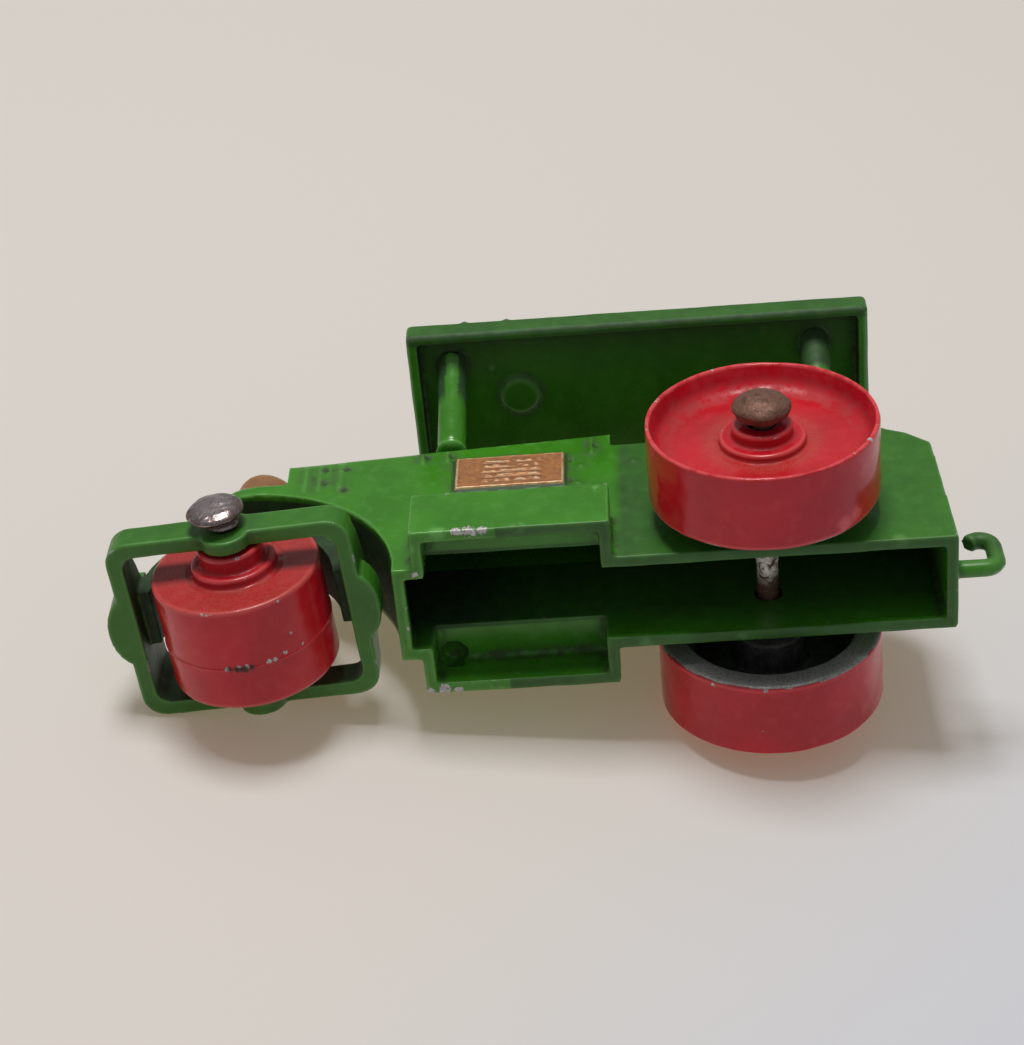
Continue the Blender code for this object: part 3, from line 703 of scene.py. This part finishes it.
def press_pits(piece, pits, radius, depth):
    """Presses small dimples into the hood's sides; returns how far each point is inside one."""
    places = points_of(piece.data)
    inside = np.zeros(len(places))
    for side in (1, -1):
        for station, height in pits:
            centre = np.array(spot(station, side * HALF_WIDTH, height))
            away = np.linalg.norm(places - centre, axis=1)
            inside = np.maximum(inside, np.clip(1.3 - away / radius, 0, 1))
    places[:, 0] -= np.sign(places[:, 0]) * inside * depth
    set_points(piece.data, places)
    return inside


BODY_CHIPS = [
    (spot(19.3, 6.1, 3.05), 0.9 * MM),
    (spot(18.6, 6.1, 3.05), 1.2 * MM),
    (spot(17.7, 6.1, 3.05), 0.9 * MM),
    (spot(22.2, 3.1, 3.05), 0.55 * MM),
    (spot(23.0, -1.0, 3.05), 0.45 * MM),
    (spot(22.2, -6.0, 3.05), 1.1 * MM),
    (spot(21.2, -6.0, 3.05), 1.1 * MM),
    (spot(20.2, -6.0, 3.05), 0.9 * MM),
    (spot(22.3, 6.0, 3.3), 0.5 * MM),
    (spot(16.6, 3.2, 18.3), 0.35 * MM),
    (spot(15.0, 3.2, 18.4), 0.50 * MM),
    (spot(14.4, 3.2, 18.4), 0.40 * MM),
    (spot(14.6, -2.7, 5.9), 0.35 * MM),
    (spot(11.0, -5.3, 3.9), 0.25 * MM),
    (spot(-11.6, 3.2, 16.0), 0.40 * MM),
    (spot(-11.7, 3.4, 3.4), 0.50 * MM),
    (spot(-14.6, 0.0, 5.3), 0.55 * MM),
    (spot(4.0, 3.45, 16.9), 0.45 * MM),
    (spot(-2.0, -3.45, 16.9), 0.60 * MM),
    (spot(31.3, 1.5, 17.1), 0.60 * MM),
    (spot(31.3, -2.4, 16.9), 0.50 * MM),
    (spot(12.0, -6.1, 7.6), 0.55 * MM),
    (spot(20.0, 6.1, 7.6), 0.45 * MM),
]


BODY_RUBS = [
    (spot(16.9, 3.2, 18.1), 0.7 * MM),
    (spot(15.1, 3.2, 18.2), 0.8 * MM),
    (spot(14.3, 3.2, 18.3), 0.7 * MM),
    (spot(20.5, 6.1, 3.1), 0.7 * MM),
    (spot(15.5, 6.1, 3.1), 0.6 * MM),
    (spot(22.5, 5.0, 3.1), 0.6 * MM),
    (spot(10.5, 6.1, 7.0), 0.5 * MM),
    (spot(18.0, -6.1, 3.1), 0.7 * MM),
    (spot(8.0, -3.2, 3.1), 0.6 * MM),
    (spot(2.0, -3.2, 3.1), 0.5 * MM),
    (spot(-8.0, 3.4, 3.1), 0.7 * MM),
]


def make_body():
    recess = disc(spot(20.6, -4.9, 5.0), spot(20.6, -4.9, 6.4), 0.85 * MM)
    shapes = hood_marks()
    piece = casting(
        "body_casting", "body", CHASSIS, "chassis", shapes, [recess], 0.15 * MM
    )

    def ridge_top(back):
        return hood_top(-back / MM) * MM - REAR_RADIUS

    span = (-HOOD_FRONT * MM - 1 * MM, -HOOD_REAR * MM + 1 * MM)
    round_ridge(piece, HALF_WIDTH * MM, ridge_top, 0.75 * MM, span)
    pits = press_pits(piece, HOOD_PITS, 0.24 * MM, 0.12 * MM)

    def inside_body(places, normals):
        """Painted shade: dark in the hollow under the body, darker on the rear deck, underneath,
        beside the plates and in the dimples.
        """
        height = (places[:, 2] + REAR_RADIUS) / MM
        station = -places[:, 1] / MM
        across = np.abs(places[:, 0]) / MM
        hollow = (across < 2.95) & (height > 3.3)
        walls = hollow & (height < 12.3)
        ceiling = hollow & (normals[:, 2] < -0.3)
        depth = np.clip((height - 3.3) / 3.0, 0, 1) * (0.68 + 0.32 * np.clip(station / 5 - 3, 0, 1))
        # Painted shadow on the deck behind the hood, beside the rear rollers.
        behind = np.clip((9.6 - station) / 0.6, 0, 1)
        painted_shade = 0.33 * behind + 0.34 * behind * np.clip((station - 4.5) / 5, 0, 1)
        # Painted shade on the downward faces underneath.
        underneath = (height < 3.5) & (normals[:, 2] < -0.5) & (station < 17)
        painted_shade = np.maximum(painted_shade, np.where(underneath, 0.60, 0))
        # Painted shadow beside the nameplates.
        beside_plate = (across > 3.5) & (across < 3.9) & (np.abs(station - 16.4) < 3.95)
        beside_plate &= (height > 11.8) & (height < 16.3)
        painted_shade = np.maximum(painted_shade, np.where(beside_plate, 0.75, 0))
        return np.maximum(np.where(walls | ceiling, 0.95 * depth, painted_shade), 0.8 * pits)

    def worn_edges(places, normals):
        return np.clip(1.8 * chip_field(places, BODY_RUBS), 0, 1)

    finish_surface(piece, BODY_CHIPS, deep=inside_body, rubbed=worn_edges, seed=11)
    piece.data.materials.append(green)


def make_nameplates():
    """The raised plates on the hood's sides: a border and plain fine ribs, in gold paint."""
    front, rear, bottom, top = 20.05, 12.75, 12.1, 16.0
    across_steps, up_steps = 150, 90
    along = np.linspace(front, rear, across_steps)
    up = np.linspace(bottom, top, up_steps)
    grid_along, grid_up = np.meshgrid(along, up)
    share = (grid_along - rear) / (front - rear)
    level = (grid_up - bottom) / (top - bottom)
    from_side = np.minimum(np.minimum(share, 1 - share) * 7.3, np.minimum(level, 1 - level) * 3.9)
    border = np.exp(-((from_side - 0.12) / 0.12) ** 2)
    flat = np.stack((grid_along.ravel(), grid_up.ravel(), np.zeros(grid_up.size)), axis=1)
    rough = ripple(flat, 0.35, 5).reshape(grid_up.shape)
    broken = np.clip(0.75 + 0.6 * ripple(flat, 0.45, 6).reshape(grid_up.shape), 0, 1)
    within = np.clip((share - 0.20) * 16, 0, 1) * np.clip((0.78 - share) * 16, 0, 1)
    within = within * np.clip((level - 0.10) * 14, 0, 1) * np.clip((0.90 - level) * 14, 0, 1)
    ribs = within * broken * np.clip(0.5 + 0.9 * np.sin(level * math.tau * 6.5), 0, 1)
    relief = 0.03 * border * broken + 0.10 * ribs + 0.007 * rough
    relief -= 0.24 * (1 - np.clip(from_side / 0.12, 0, 1))
    for side, label in ((1, "left"), (-1, "right")):
        outer = np.empty((up_steps, across_steps, 3))
        outer[:, :, 0] = side * (HALF_WIDTH + 0.28 + relief) * MM
        outer[:, :, 1] = -grid_along * MM
        outer[:, :, 2] = grid_up * MM - REAR_RADIUS
        inner = outer.copy()
        inner[:, :, 0] = side * (HALF_WIDTH - 0.1) * MM
        places = np.concatenate((outer.reshape(-1, 3), inner.reshape(-1, 3)))
        faces = []
        size = across_steps * up_steps
        for layer in (0, size):
            for i in range(up_steps - 1):
                for j in range(across_steps - 1):
                    corner = layer + i * across_steps + j
                    below = corner + across_steps
                    faces.append((corner, corner + 1, below + 1, below))
        last_row = (up_steps - 1) * across_steps
        for start in (0, last_row):
            for j in range(across_steps - 1):
                first = start + j
                faces.append((first, first + 1, size + first + 1, size + first))
        for start in (0, across_steps - 1):
            for i in range(up_steps - 1):
                first = start + i * across_steps
                after = first + across_steps
                faces.append((first, after, size + after, size + first))
        mesh = tidy_mesh(mesh_from("nameplate_" + label, places, faces), 0.0000001)
        piece = new_object("nameplate_" + label, mesh)
        piece.matrix_world = CHASSIS
        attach(piece, "chassis")
        finish_surface(piece, wave=0, seed=3)
        piece.data.materials.append(gold)


# ---------------------------------------------------------------- canopy

ROOF_CEILING = 23.55
ROOF_RIM_INSIDE = 8.9
POST_STATIONS = (20.35, -4.5)


def make_canopy():
    ceiling = ROOF_CEILING
    mark = disc(spot(15.8, 4.1, ceiling - 0.34), spot(15.8, 4.1, ceiling + 0.3), 1.35 * MM)
    pips = [
        stud(spot(17.6, 6.3, ceiling), 0.22 * MM, 0.18 * MM, (0, 0, 1)),
        stud(spot(23.2, 5.6, 24.2), 0.3 * MM, 0.13 * MM, (0, 1, 0)),
        stud(spot(19.2, 9.45, 24.3), 0.24 * MM, 0.18 * MM, (0, 0, 1)),
        stud(spot(16.3, 9.5, 24.3), 0.20 * MM, 0.16 * MM, (0, 0, 1)),
    ]
    chips = [
        (spot(23.1, 9.5, 22.6), 0.5 * MM),
        (spot(20.3, 9.6, 24.3), 0.4 * MM),
        (spot(8.0, 9.6, 24.3), 0.4 * MM),
        (spot(-8.0, 9.5, 24.2), 0.6 * MM),
        (spot(23.1, -9.5, 24.3), 0.9 * MM),
        (spot(-8.0, -9.5, 24.3), 0.8 * MM),
        (spot(12.0, -9.6, 24.3), 0.6 * MM),
        (spot(23.2, 2.0, 24.3), 0.5 * MM),
        (spot(10.0, -2.0, 24.4), 0.40 * MM),
        (spot(3.0, 5.0, 24.4), 0.30 * MM),
    ]
    piece = casting(
        "canopy", "canopy_cast", CHASSIS, "chassis", [mark] + pips, (), 0.15 * MM
    )

    def under_roof(places, normals):
        """Painted shade under the roof, darkest towards its long edges, a painted roof shadow on
        the post tops, and a darker rim.
        """
        across = np.abs(places[:, 0]) / MM
        height = (places[:, 2] + REAR_RADIUS) / MM
        within = across < ROOF_RIM_INSIDE
        near_ceiling = np.abs(height - ROOF_CEILING + 0.05) < 0.3
        below = (normals[:, 2] < -0.4) & near_ceiling & within
        # Painted shade on the ceiling, darker towards the long edges.
        near_edge = 0.12 + 0.55 * np.clip((across - 4.5) / 4.0, 0, 1)
        lower_edge = (normals[:, 2] < -0.2) & (np.abs(normals[:, 0]) > 0.2)
        rim = np.where(lower_edge, 0.85, 0.55) * (~within & (normals[:, 2] < 0.5))
        post = within & (np.abs(normals[:, 2]) < 0.6) & (height < 23.4)
        # Painted shadow of the roof's rim on the tops of the posts.
        post_top = 0.88 * np.clip((height - 20.6) / 0.6, 0, 1)
        return np.maximum(np.where(below, near_edge, rim), np.where(post, post_top, 0))

    places = points_of(piece.data)
    normals = normals_of(piece.data)
    height = (places[:, 2] + REAR_RADIUS) / MM
    station = -places[:, 1] / MM
    from_post = np.minimum(*(np.abs(station - post) for post in POST_STATIONS))
    near_post = (from_post < 1.6) & (np.abs(places[:, 0]) < 8.7 * MM)
    swell = 0.12 * MM * near_post * np.clip((ROOF_CEILING - 0.1 - height) / 0.15, 0, 1)
    places[:, :2] += normals[:, :2] * swell[:, None]
    set_points(piece.data, places)
    finish_surface(piece, chips, seed=21, deep=under_roof)
    piece.data.materials.append(green)


# ---------------------------------------------------------------- yoke and its pins

def make_yoke():
    shapes = []
    for side in (1, -1):
        start = Vector((side * 5.72 * MM, 0, -0.55 * MM))
        end = Vector((side * 6.64 * MM, 0, -0.55 * MM))
        shapes.append(disc(start, end, 1.6 * MM))
    hole = disc(Vector((-8 * MM, 0, 0)), Vector((8 * MM, 0, 0)), 0.9 * MM)
    chips = [
        (Vector((1.6 * MM, -8.9 * MM, 0.2 * MM)), 0.9 * MM),
        (Vector((6.6 * MM, 7.0 * MM, -0.9 * MM)), 0.4 * MM),
        (Vector((-6.6 * MM, -6.9 * MM, 1.1 * MM)), 0.6 * MM),
        (Vector((0, 8.8 * MM, 1.1 * MM)), 0.6 * MM),
    ]
    shapes_joined = join_shapes(bpy.data.meshes.new("lugs"), shapes)
    lugs = cut_shape(shapes_joined, hole)
    lug_shape = bmesh.new()
    lug_shape.from_mesh(lugs)
    piece = casting(
        "front_yoke", "yoke_ring", YOKE, "yoke", [lug_shape], (), 0.11 * MM
    )

    # The top of the corner wall stands a little higher than in the CAD, as in the photograph.
    places = points_of(piece.data)
    across, along, height = (places / MM).T
    on_wall = (along < -5.0) & (np.hypot(across, along) > 6.7) & (across < 1.6)
    places[:, 2] += 0.45 * MM * np.clip((height - 3.0) / 0.7, 0, 1) * on_wall * (height < 4.0)
    set_points(piece.data, places)

    def inside_yoke(places, normals):
        """Painted shade inside the ring and under the saddle; the rest of the yoke a little darker.
        """
        across, along, height = (places / MM).T
        under = (along / 6.6) ** 2 + (np.clip(height, 0, None) / 7.5) ** 2 < 1.02
        between = (np.abs(across) < 5.5) & (np.abs(along) < 6.9) & under
        inner = (np.abs(across) < 5.75) & (np.abs(along) < 6.95) & (under | (height < 4.3))
        side_faces = np.where(inner & (np.abs(normals[:, 2]) < 0.7), 0.90, 0.34)
        upward = 0.97 * np.clip((height + 0.9) / 0.9, 0, 1)
        return np.maximum(side_faces, np.where(between, upward, 0))

    finish_surface(piece, chips, seed=31, deep=inside_yoke)
    piece.data.materials.append(green)


# The nail is loose in its bore, so its head sits a little ahead of the bore's middle.
NAIL_HEAD_SHIFT = (0.0, -0.40 * MM, 0.08 * MM)


def make_front_pin():
    head_base, head_top = 7.77 * MM, 8.37 * MM
    points = dome(1.85 * MM, head_base, head_top)
    points += [(1.6 * MM, 7.5 * MM), (1.1 * MM, 7.42 * MM), (1.1 * MM, 6.82 * MM)]
    points += [(0.7 * MM, 6.82 * MM), (0.7 * MM, -6.82 * MM), (1.2 * MM, -6.82 * MM)]
    tail = dome(1.2 * MM, 6.84 * MM, 7.37 * MM, 4)
    points += [(r, -z) for r, z in reversed(tail)]
    piece = lathe("nail", points, [0.12 * MM] * len(points), 120, 0.09 * MM, closed=False)
    places = points_of(piece.data)
    outside = np.clip((places[:, 0] / MM - 6.7) / 0.7, 0, 1)
    places += outside[:, None] * np.array(NAIL_HEAD_SHIFT)
    set_points(piece.data, places)
    place_piece(piece, YOKE, "yoke", "front_axle_pin")

    def round_rim(places, normals):
        """Painted shade, darker towards the rim of the head."""
        radial = np.hypot(places[:, 1] - NAIL_HEAD_SHIFT[1], places[:, 2] - NAIL_HEAD_SHIFT[2])
        return 0.85 * np.clip((radial / MM - 0.8) / 0.8, 0, 1)

    finish_surface(piece, wave=0.026 * MM, wave_size=0.8 * MM, seed=41, deep=round_rim)
    piece.data.materials.append(steel)


def make_kingpin():
    cap = dome(2.08 * MM, 0, 1.2 * MM, 8)
    below = [(2.08 * MM, -2.28 * MM), (1.0 * MM, -2.28 * MM), (1.0 * MM, -6.42 * MM)]
    below += [(1.6 * MM, -6.42 * MM), (1.3 * MM, -6.82 * MM), (0.0, -6.82 * MM)]
    points = cap + below
    piece = lathe("kingpin_rivet", points, [0.2 * MM] * len(points), 120, 0.1 * MM, closed=False)
    shoulder = spot(33.55, 0, 18.1)
    upright = Matrix(((0, 0, 1), (0, 1, 0), (-1, 0, 0))).transposed().to_4x4()
    place = CHASSIS @ Matrix.Translation(shoulder) @ upright
    place_piece(piece, place, "chassis", "kingpin")

    def dirty(places, normals):
        return np.full(len(places), 0.5)

    finish_surface(piece, wave=0.02 * MM, wave_size=1.0 * MM, seed=43, deep=dirty)
    piece.data.materials.append(gold)


def make_rear_axle():
    rim = 10.55 * MM
    head = dome(1.85 * MM, rim + 0.55 * MM, rim + 1.4 * MM)
    head += [(1.55 * MM, rim), (0.7 * MM, rim)]
    points = head + [(r, -z) for r, z in reversed(head)]
    piece = lathe("axle_rod", points, [0.15 * MM] * len(points), 110, 0.1 * MM, closed=False)
    place_piece(piece, CHASSIS, "rear_axle", "rear_axle")

    def painted_reflection(places, normals):
        """A painted reflection: the rod is painted bright inside the body, except near the right
        wall.
        """
        left = places[:, 0] / MM
        return np.clip((left + 1.9) / 1.0, 0, 1) * np.clip((2.9 - left) / 0.5, 0, 1)

    finish_surface(piece, wave=0.045 * MM, wave_size=1.1 * MM, seed=51, bare=painted_reflection)
    piece.data.materials.append(rust)


# ---------------------------------------------------------------- rollers

FRONT_RADIUS = 5.4
FRONT_HUB_HALF_LENGTH = 5.4
FRONT_HALF_WIDTH = 3.65
MOULD_LINE = -0.62


def make_front_roller():
    half = [
        (2.1, FRONT_HUB_HALF_LENGTH, 0.15), (2.1, 4.25, 0.12), (2.7, 4.25, 0.20),
        (2.75, 3.58, 0.12), (3.15, 3.58, 0.10), (3.25, FRONT_HALF_WIDTH, 0.10),
        (FRONT_RADIUS, FRONT_HALF_WIDTH, 0.22),
    ]
    mirrored = [(r, -z, c) for r, z, c in reversed(half)]
    seam = [
        (FRONT_RADIUS, MOULD_LINE + 0.07, 0.05), (FRONT_RADIUS + 0.06, MOULD_LINE, 0.05),
        (FRONT_RADIUS, MOULD_LINE - 0.08, 0.05),
    ]
    bore = [(0.9, -FRONT_HUB_HALF_LENGTH, 0.1), (0.9, FRONT_HUB_HALF_LENGTH, 0.1)]
    whole = half + seam + mirrored + bore
    points = [(r * MM, z * MM) for r, z, c in whole]
    radii = [c * MM for r, z, c in whole]
    piece = lathe("front_roller_cast", points, radii, 250, 0.13 * MM)
    place_piece(piece, YOKE, "front_roller", "front_roller")

    def on_ends(places, normals):
        """Dust on the flat ends, outside the hub."""
        radial = np.hypot(places[:, 1], places[:, 2]) / MM
        flat = (np.abs(places[:, 0]) > 3.5 * MM) & (radial > 2.85)
        return np.where(flat, 0.34, 0)

    def in_pits(places, normals):
        """Darker in the scraped pits on the mould line, and a little darker on the flat ends."""
        ends = np.where(np.abs(places[:, 0]) > 3.4 * MM, 0.16, 0)
        return np.maximum(ends, np.clip(2.2 * chip_field(places, FRONT_PITS), 0, 1))

    finish_surface(piece, FRONT_CHIPS, seed=61, wave=0.016 * MM, dust=on_ends, deep=in_pits)
    piece.data.materials.append(red)


def around(radius, along, angle):
    """A place on a roller, by its angle from straight down towards the toy's front."""
    turn = math.radians(angle)
    return Vector((along * MM, -radius * MM * math.sin(turn), -radius * MM * math.cos(turn)))


FRONT_CHIPS = [
    (around(FRONT_RADIUS, -0.56, 8), 0.36 * MM),
    (around(FRONT_RADIUS, -0.42, 0), 0.42 * MM),
    (around(FRONT_RADIUS, -0.46, -6), 0.46 * MM),
    (around(FRONT_RADIUS, -0.45, -20.6), 0.42 * MM),
    (around(FRONT_RADIUS, -0.49, -25.4), 0.42 * MM),
    (around(FRONT_RADIUS, -0.29, -33), 0.42 * MM),
    (around(FRONT_RADIUS, -0.33, -47), 0.32 * MM),
    (around(FRONT_RADIUS, 0.83, -40), 0.30 * MM),
    (around(FRONT_RADIUS, 3.45, -36), 0.38 * MM),
]
FRONT_PITS = [
    (around(FRONT_RADIUS, -0.55, 6), 0.26 * MM),
    (around(FRONT_RADIUS, -0.62, 1), 0.30 * MM),
    (around(FRONT_RADIUS, -0.66, -4), 0.34 * MM),
    (around(FRONT_RADIUS, -0.58, -9), 0.24 * MM),
]


def make_rear_roller(label, side):
    width = 5.2
    r = 7.3
    ring = [
        (r - 0.05, width, 0.06), (r, width - 0.12, 0.10), (r, 0.2, 0.15), (r - 0.2, 0, 0.12),
        (r - 1.6, 0, 0.15), (r - 1.75, 3.1, 0.5), (2.4, 2.6, 0.3), (2.2, 0.35, 0.15),
        (0.9, 0.35, 0.1), (0.9, width - 0.3, 0.1), (1.9, width - 0.3, 0.18),
        (1.9, width - 1.15, 0.15), (2.7, width - 1.15, 0.20), (2.7, width - 1.72, 0.20),
        (3.3, width - 1.66, 0.25), (r - 1.30, width - 1.62, 0.5), (r - 0.62, width - 1.22, 0.4),
        (r - 0.26, width - 0.03, 0.06),
    ]
    points = [(a * MM, z * MM) for a, z, c in ring]
    radii = [c * MM for a, z, c in ring]
    piece = lathe("rear_roller_cast_" + label, points, radii, 300, 0.14 * MM)
    if side < 0:
        piece.data.transform(Matrix.Diagonal((-1, 1, 1, 1)))
        tidy_mesh(piece.data, 0.0000001)

    def unpainted(places, normals):
        inward = places[:, 0] * side / MM
        radial = np.hypot(places[:, 1], places[:, 2]) / MM
        edge = 0.10 + 0.04 * ripple(places, 1.4 * MM, 71)
        inside = (inward < edge) | ((radial < r - 1.4) & (inward < 3.2))
        return np.where(inside, 1.0, 0.0)

    def in_hollow(places, normals):
        """Painted shade in the cup's hollow and down the hub's bore; the inner end face a little
        darker.
        """
        inward = places[:, 0] * side / MM
        radial = np.hypot(places[:, 1], places[:, 2]) / MM
        hollow = (radial < r - 1.45) & (inward < 3.4)
        bore = radial < 1.02
        end_face = np.where((inward < 0.3) & (radial < r - 0.05), 0.55, 0.0)
        return np.where(hollow, np.clip((inward + 0.6) / 1.2, 0, 1), np.where(bore, 1.0, end_face))

    def by_hub(places, normals):
        """Dust in the dish, thickest in a ring round the hub."""
        outward = places[:, 0] * side / MM
        radial = np.hypot(places[:, 1], places[:, 2]) / MM
        in_dish = (outward > 3) & (radial > 2.6) & (radial < r - 0.8)
        return np.where(in_dish, 0.07 + 0.30 * np.exp(-((radial - 3.3) / 0.6) ** 2), 0)

    start = Vector((side * 5.1 * MM, 0, 0))
    place = CHASSIS @ Matrix.Translation(start)
    node = "rear_roller_" + label
    place_piece(piece, place, node, node)
    chips = rear_chips(side)

    def scuffed_and_highlit(places, normals):
        """A scrape near the inner edge of the left roller, and both dishes' narrow edges paler:
        worn, partly a painted highlight.
        """
        outward = places[:, 0] * side / MM
        radial = np.hypot(places[:, 1], places[:, 2]) / MM
        # Paler rim: worn paint, and partly a painted highlight.
        worn_rim_and_highlight = np.where((outward > width - 0.12) & (radial > r - 0.35), 0.75, 0)
        scrape = np.minimum(1.8 * chip_field(places, SCRAPES), 1) if side > 0 else 0
        return np.maximum(worn_rim_and_highlight, scrape)

    finish_surface(
        piece, chips, wave=0.016 * MM, seed=81 + side,
        bare=unpainted, deep=in_hollow, dust=by_hub, rubbed=scuffed_and_highlit,
    )
    piece.data.materials.append(red)


SCRAPES = [(around(7.3, 0.6, -38), 0.80 * MM), (around(7.3, 1.0, -47), 0.65 * MM)]


def rear_chips(side):
    reach = side * 5.15
    draw = np.random.default_rng(7 + side)
    chips = [(around(7.18, reach, angle), 0.24 * MM) for angle in draw.uniform(0, 360, 12)]
    if side > 0:
        chips.append((around(7.1, 5.1, -62), 0.55 * MM))
    else:
        chips.append((around(7.3, -0.1, 6), 0.50 * MM))
        chips.append((around(7.3, -0.3, 33), 0.45 * MM))
        chips.append((around(7.3, -3.4, 8), 0.24 * MM))
    return chips


make_body()
make_nameplates()
make_canopy()
make_yoke()
make_front_pin()
make_kingpin()
make_rear_axle()
make_front_roller()
make_rear_roller("left", 1)
make_rear_roller("right", -1)

# ---------------------------------------------------------------- stage, light and camera

TABLE_COLOUR = (0.510, 0.508, 0.514, 1)
TABLE_COOL = (0.440, 0.492, 0.585, 1)
SHADE_GLOW = (1.0, 0.75, 0.47, 1)
GLOW_STRENGTH = 0.16


def stage_material(name, colour, cool_colour):
    """A pale matt surface, seen only from its front, cooler towards the toy's lower rear.

    Its faint warm glow stands for the light that a real room throws into the shadows.
    """
    s = Shader(name)
    split = s.nodes.new("ShaderNodeSeparateXYZ")
    s.links.new(s.place, split.inputs[0])
    along = s.math("SUBTRACT", split.outputs["Y"], s.math("MULTIPLY", split.outputs["Z"], 0.8))
    cool = s.span(s.math("ADD", along, s.math("MULTIPLY", s.noise(30 * MM, 2), 0.01)), 0.0, 0.055)
    tone = s.mix(cool, colour, cool_colour)
    s.set(Base_Color=tone, Roughness=0.75)
    s.set(Emission_Color=SHADE_GLOW, Emission_Strength=GLOW_STRENGTH)
    s.set(Normal=s.bump(s.noise(0.8 * MM, 3), 0.01 * MM))
    sides = s.nodes.new("ShaderNodeNewGeometry").outputs["Backfacing"]
    clear = s.nodes.new("ShaderNodeBsdfTransparent").outputs[0]
    pick = s.nodes.new("ShaderNodeMixShader")
    s.links.new(sides, pick.inputs[0])
    s.links.new(s.surface.outputs[0], pick.inputs[1])
    s.links.new(clear, pick.inputs[2])
    s.links.new(pick.outputs[0], s.nodes["Material Output"].inputs["Surface"])
    return s.material


def stage_plane(name, origin, normal, reach, material, bounces):
    across = normal.orthogonal().normalized() * reach
    along = normal.cross(across)
    corners = [origin - across - along, origin + across - along]
    corners += [origin + across + along, origin - across + along]
    plane = new_object(name, mesh_from(name, corners, [(0, 1, 2, 3)]))
    if plane.data.polygons[0].normal.dot(normal) < 0:
        plane.data.flip_normals()
    plane.data.materials.append(material)
    plane.visible_diffuse = bounces
    plane.visible_glossy = bounces
    plane.visible_shadow = False
    return plane


def table_under_right_side():
    """The plane that the toy would lie on, through the three points it rests on."""
    axle_low, axle_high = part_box("rear_axle")
    axle = Vector((axle_low.x, (axle_low.y + axle_high.y) / 2, (axle_low.z + axle_high.z) / 2))
    roof_low, roof_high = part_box("canopy")
    roof = Vector((roof_low.x, (roof_low.y + roof_high.y) / 2, roof_high.z))
    yoke_low, yoke_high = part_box("front_yoke")
    yoke = Vector((yoke_low.x, yoke_low.y + 2.4 * MM, (yoke_low.z + yoke_high.z) / 2 - 3 * MM))
    normal = (roof - axle).cross(yoke - axle).normalized()
    if normal.x < 0:
        normal.negate()
    return axle - normal * 0.05 * MM, normal


table_origin, table_normal = table_under_right_side()
pale = stage_material("pale_table", TABLE_COLOUR, TABLE_COOL)
stage_plane("table", table_origin, table_normal, 1.5, pale, True)
stage_plane("floor", Vector((0, 0, -0.02 * MM)), Vector((0, 0, 1)), 1.5, pale, False)


def add_area(name, place, target, size, power, colour):
    light = bpy.data.lights.new(name, "AREA")
    light.shape = "RECTANGLE"
    light.size = size[0]
    light.size_y = size[1]
    light.energy = power
    light.color = colour
    lamp = new_object(name, light)
    lamp.location = place
    lamp.rotation_euler = (Vector(target) - Vector(place)).to_track_quat("-Z", "Y").to_euler()
    return lamp


# The window is almost straight above the toy as it lies in the photograph.
WINDOW_AWAY = Vector((0.499, 0.0, 0.022))
BEHIND_AWAY = Vector((-0.40, 0.30, 0.35))

centre = (Vector(cad_box[0]) + Vector(cad_box[1])) / 2
add_area("window", centre + WINDOW_AWAY, centre, (0.15, 0.15), 1.9, (1, 0.98, 0.95))
add_area("behind", centre + BEHIND_AWAY, centre, (0.4, 0.4), 0.9, (1, 0.99, 0.97))

world = bpy.data.worlds.new("room")
world.use_nodes = True
bpy.context.scene.world = world
room = world.node_tree.nodes["Background"]
room.inputs["Color"].default_value = (0.93, 0.94, 0.96, 1)
room.inputs["Strength"].default_value = 0.30

# The camera's place and axes in the chassis's own axes, from the fit to the photograph
CAMERA_STATION = 6.415
CAMERA_LEFT = 88.53
CAMERA_HEIGHT = -128.10
LOOK = Vector((-0.5293, -0.0606, 0.8463))
PICTURE_DOWN = Vector((-0.8441, -0.0634, -0.5325))
LENS = 88.17

camera_data = bpy.data.cameras.new("camera")
camera_data.lens = LENS
camera_data.sensor_width = 36
camera_data.sensor_fit = "HORIZONTAL"
camera_data.clip_start = 0.01
camera_data.clip_end = 10
camera = new_object("camera", camera_data)
right = PICTURE_DOWN.cross(LOOK).normalized()
true_up = right.cross(LOOK).normalized()
axes = Matrix((right, true_up, -LOOK.normalized())).transposed().to_4x4()
place = spot(CAMERA_STATION, CAMERA_LEFT, CAMERA_HEIGHT)
camera.matrix_world = CHASSIS @ Matrix.Translation(place) @ axes
bpy.context.scene.camera = camera
bpy.context.scene.view_settings.view_transform = "Standard"
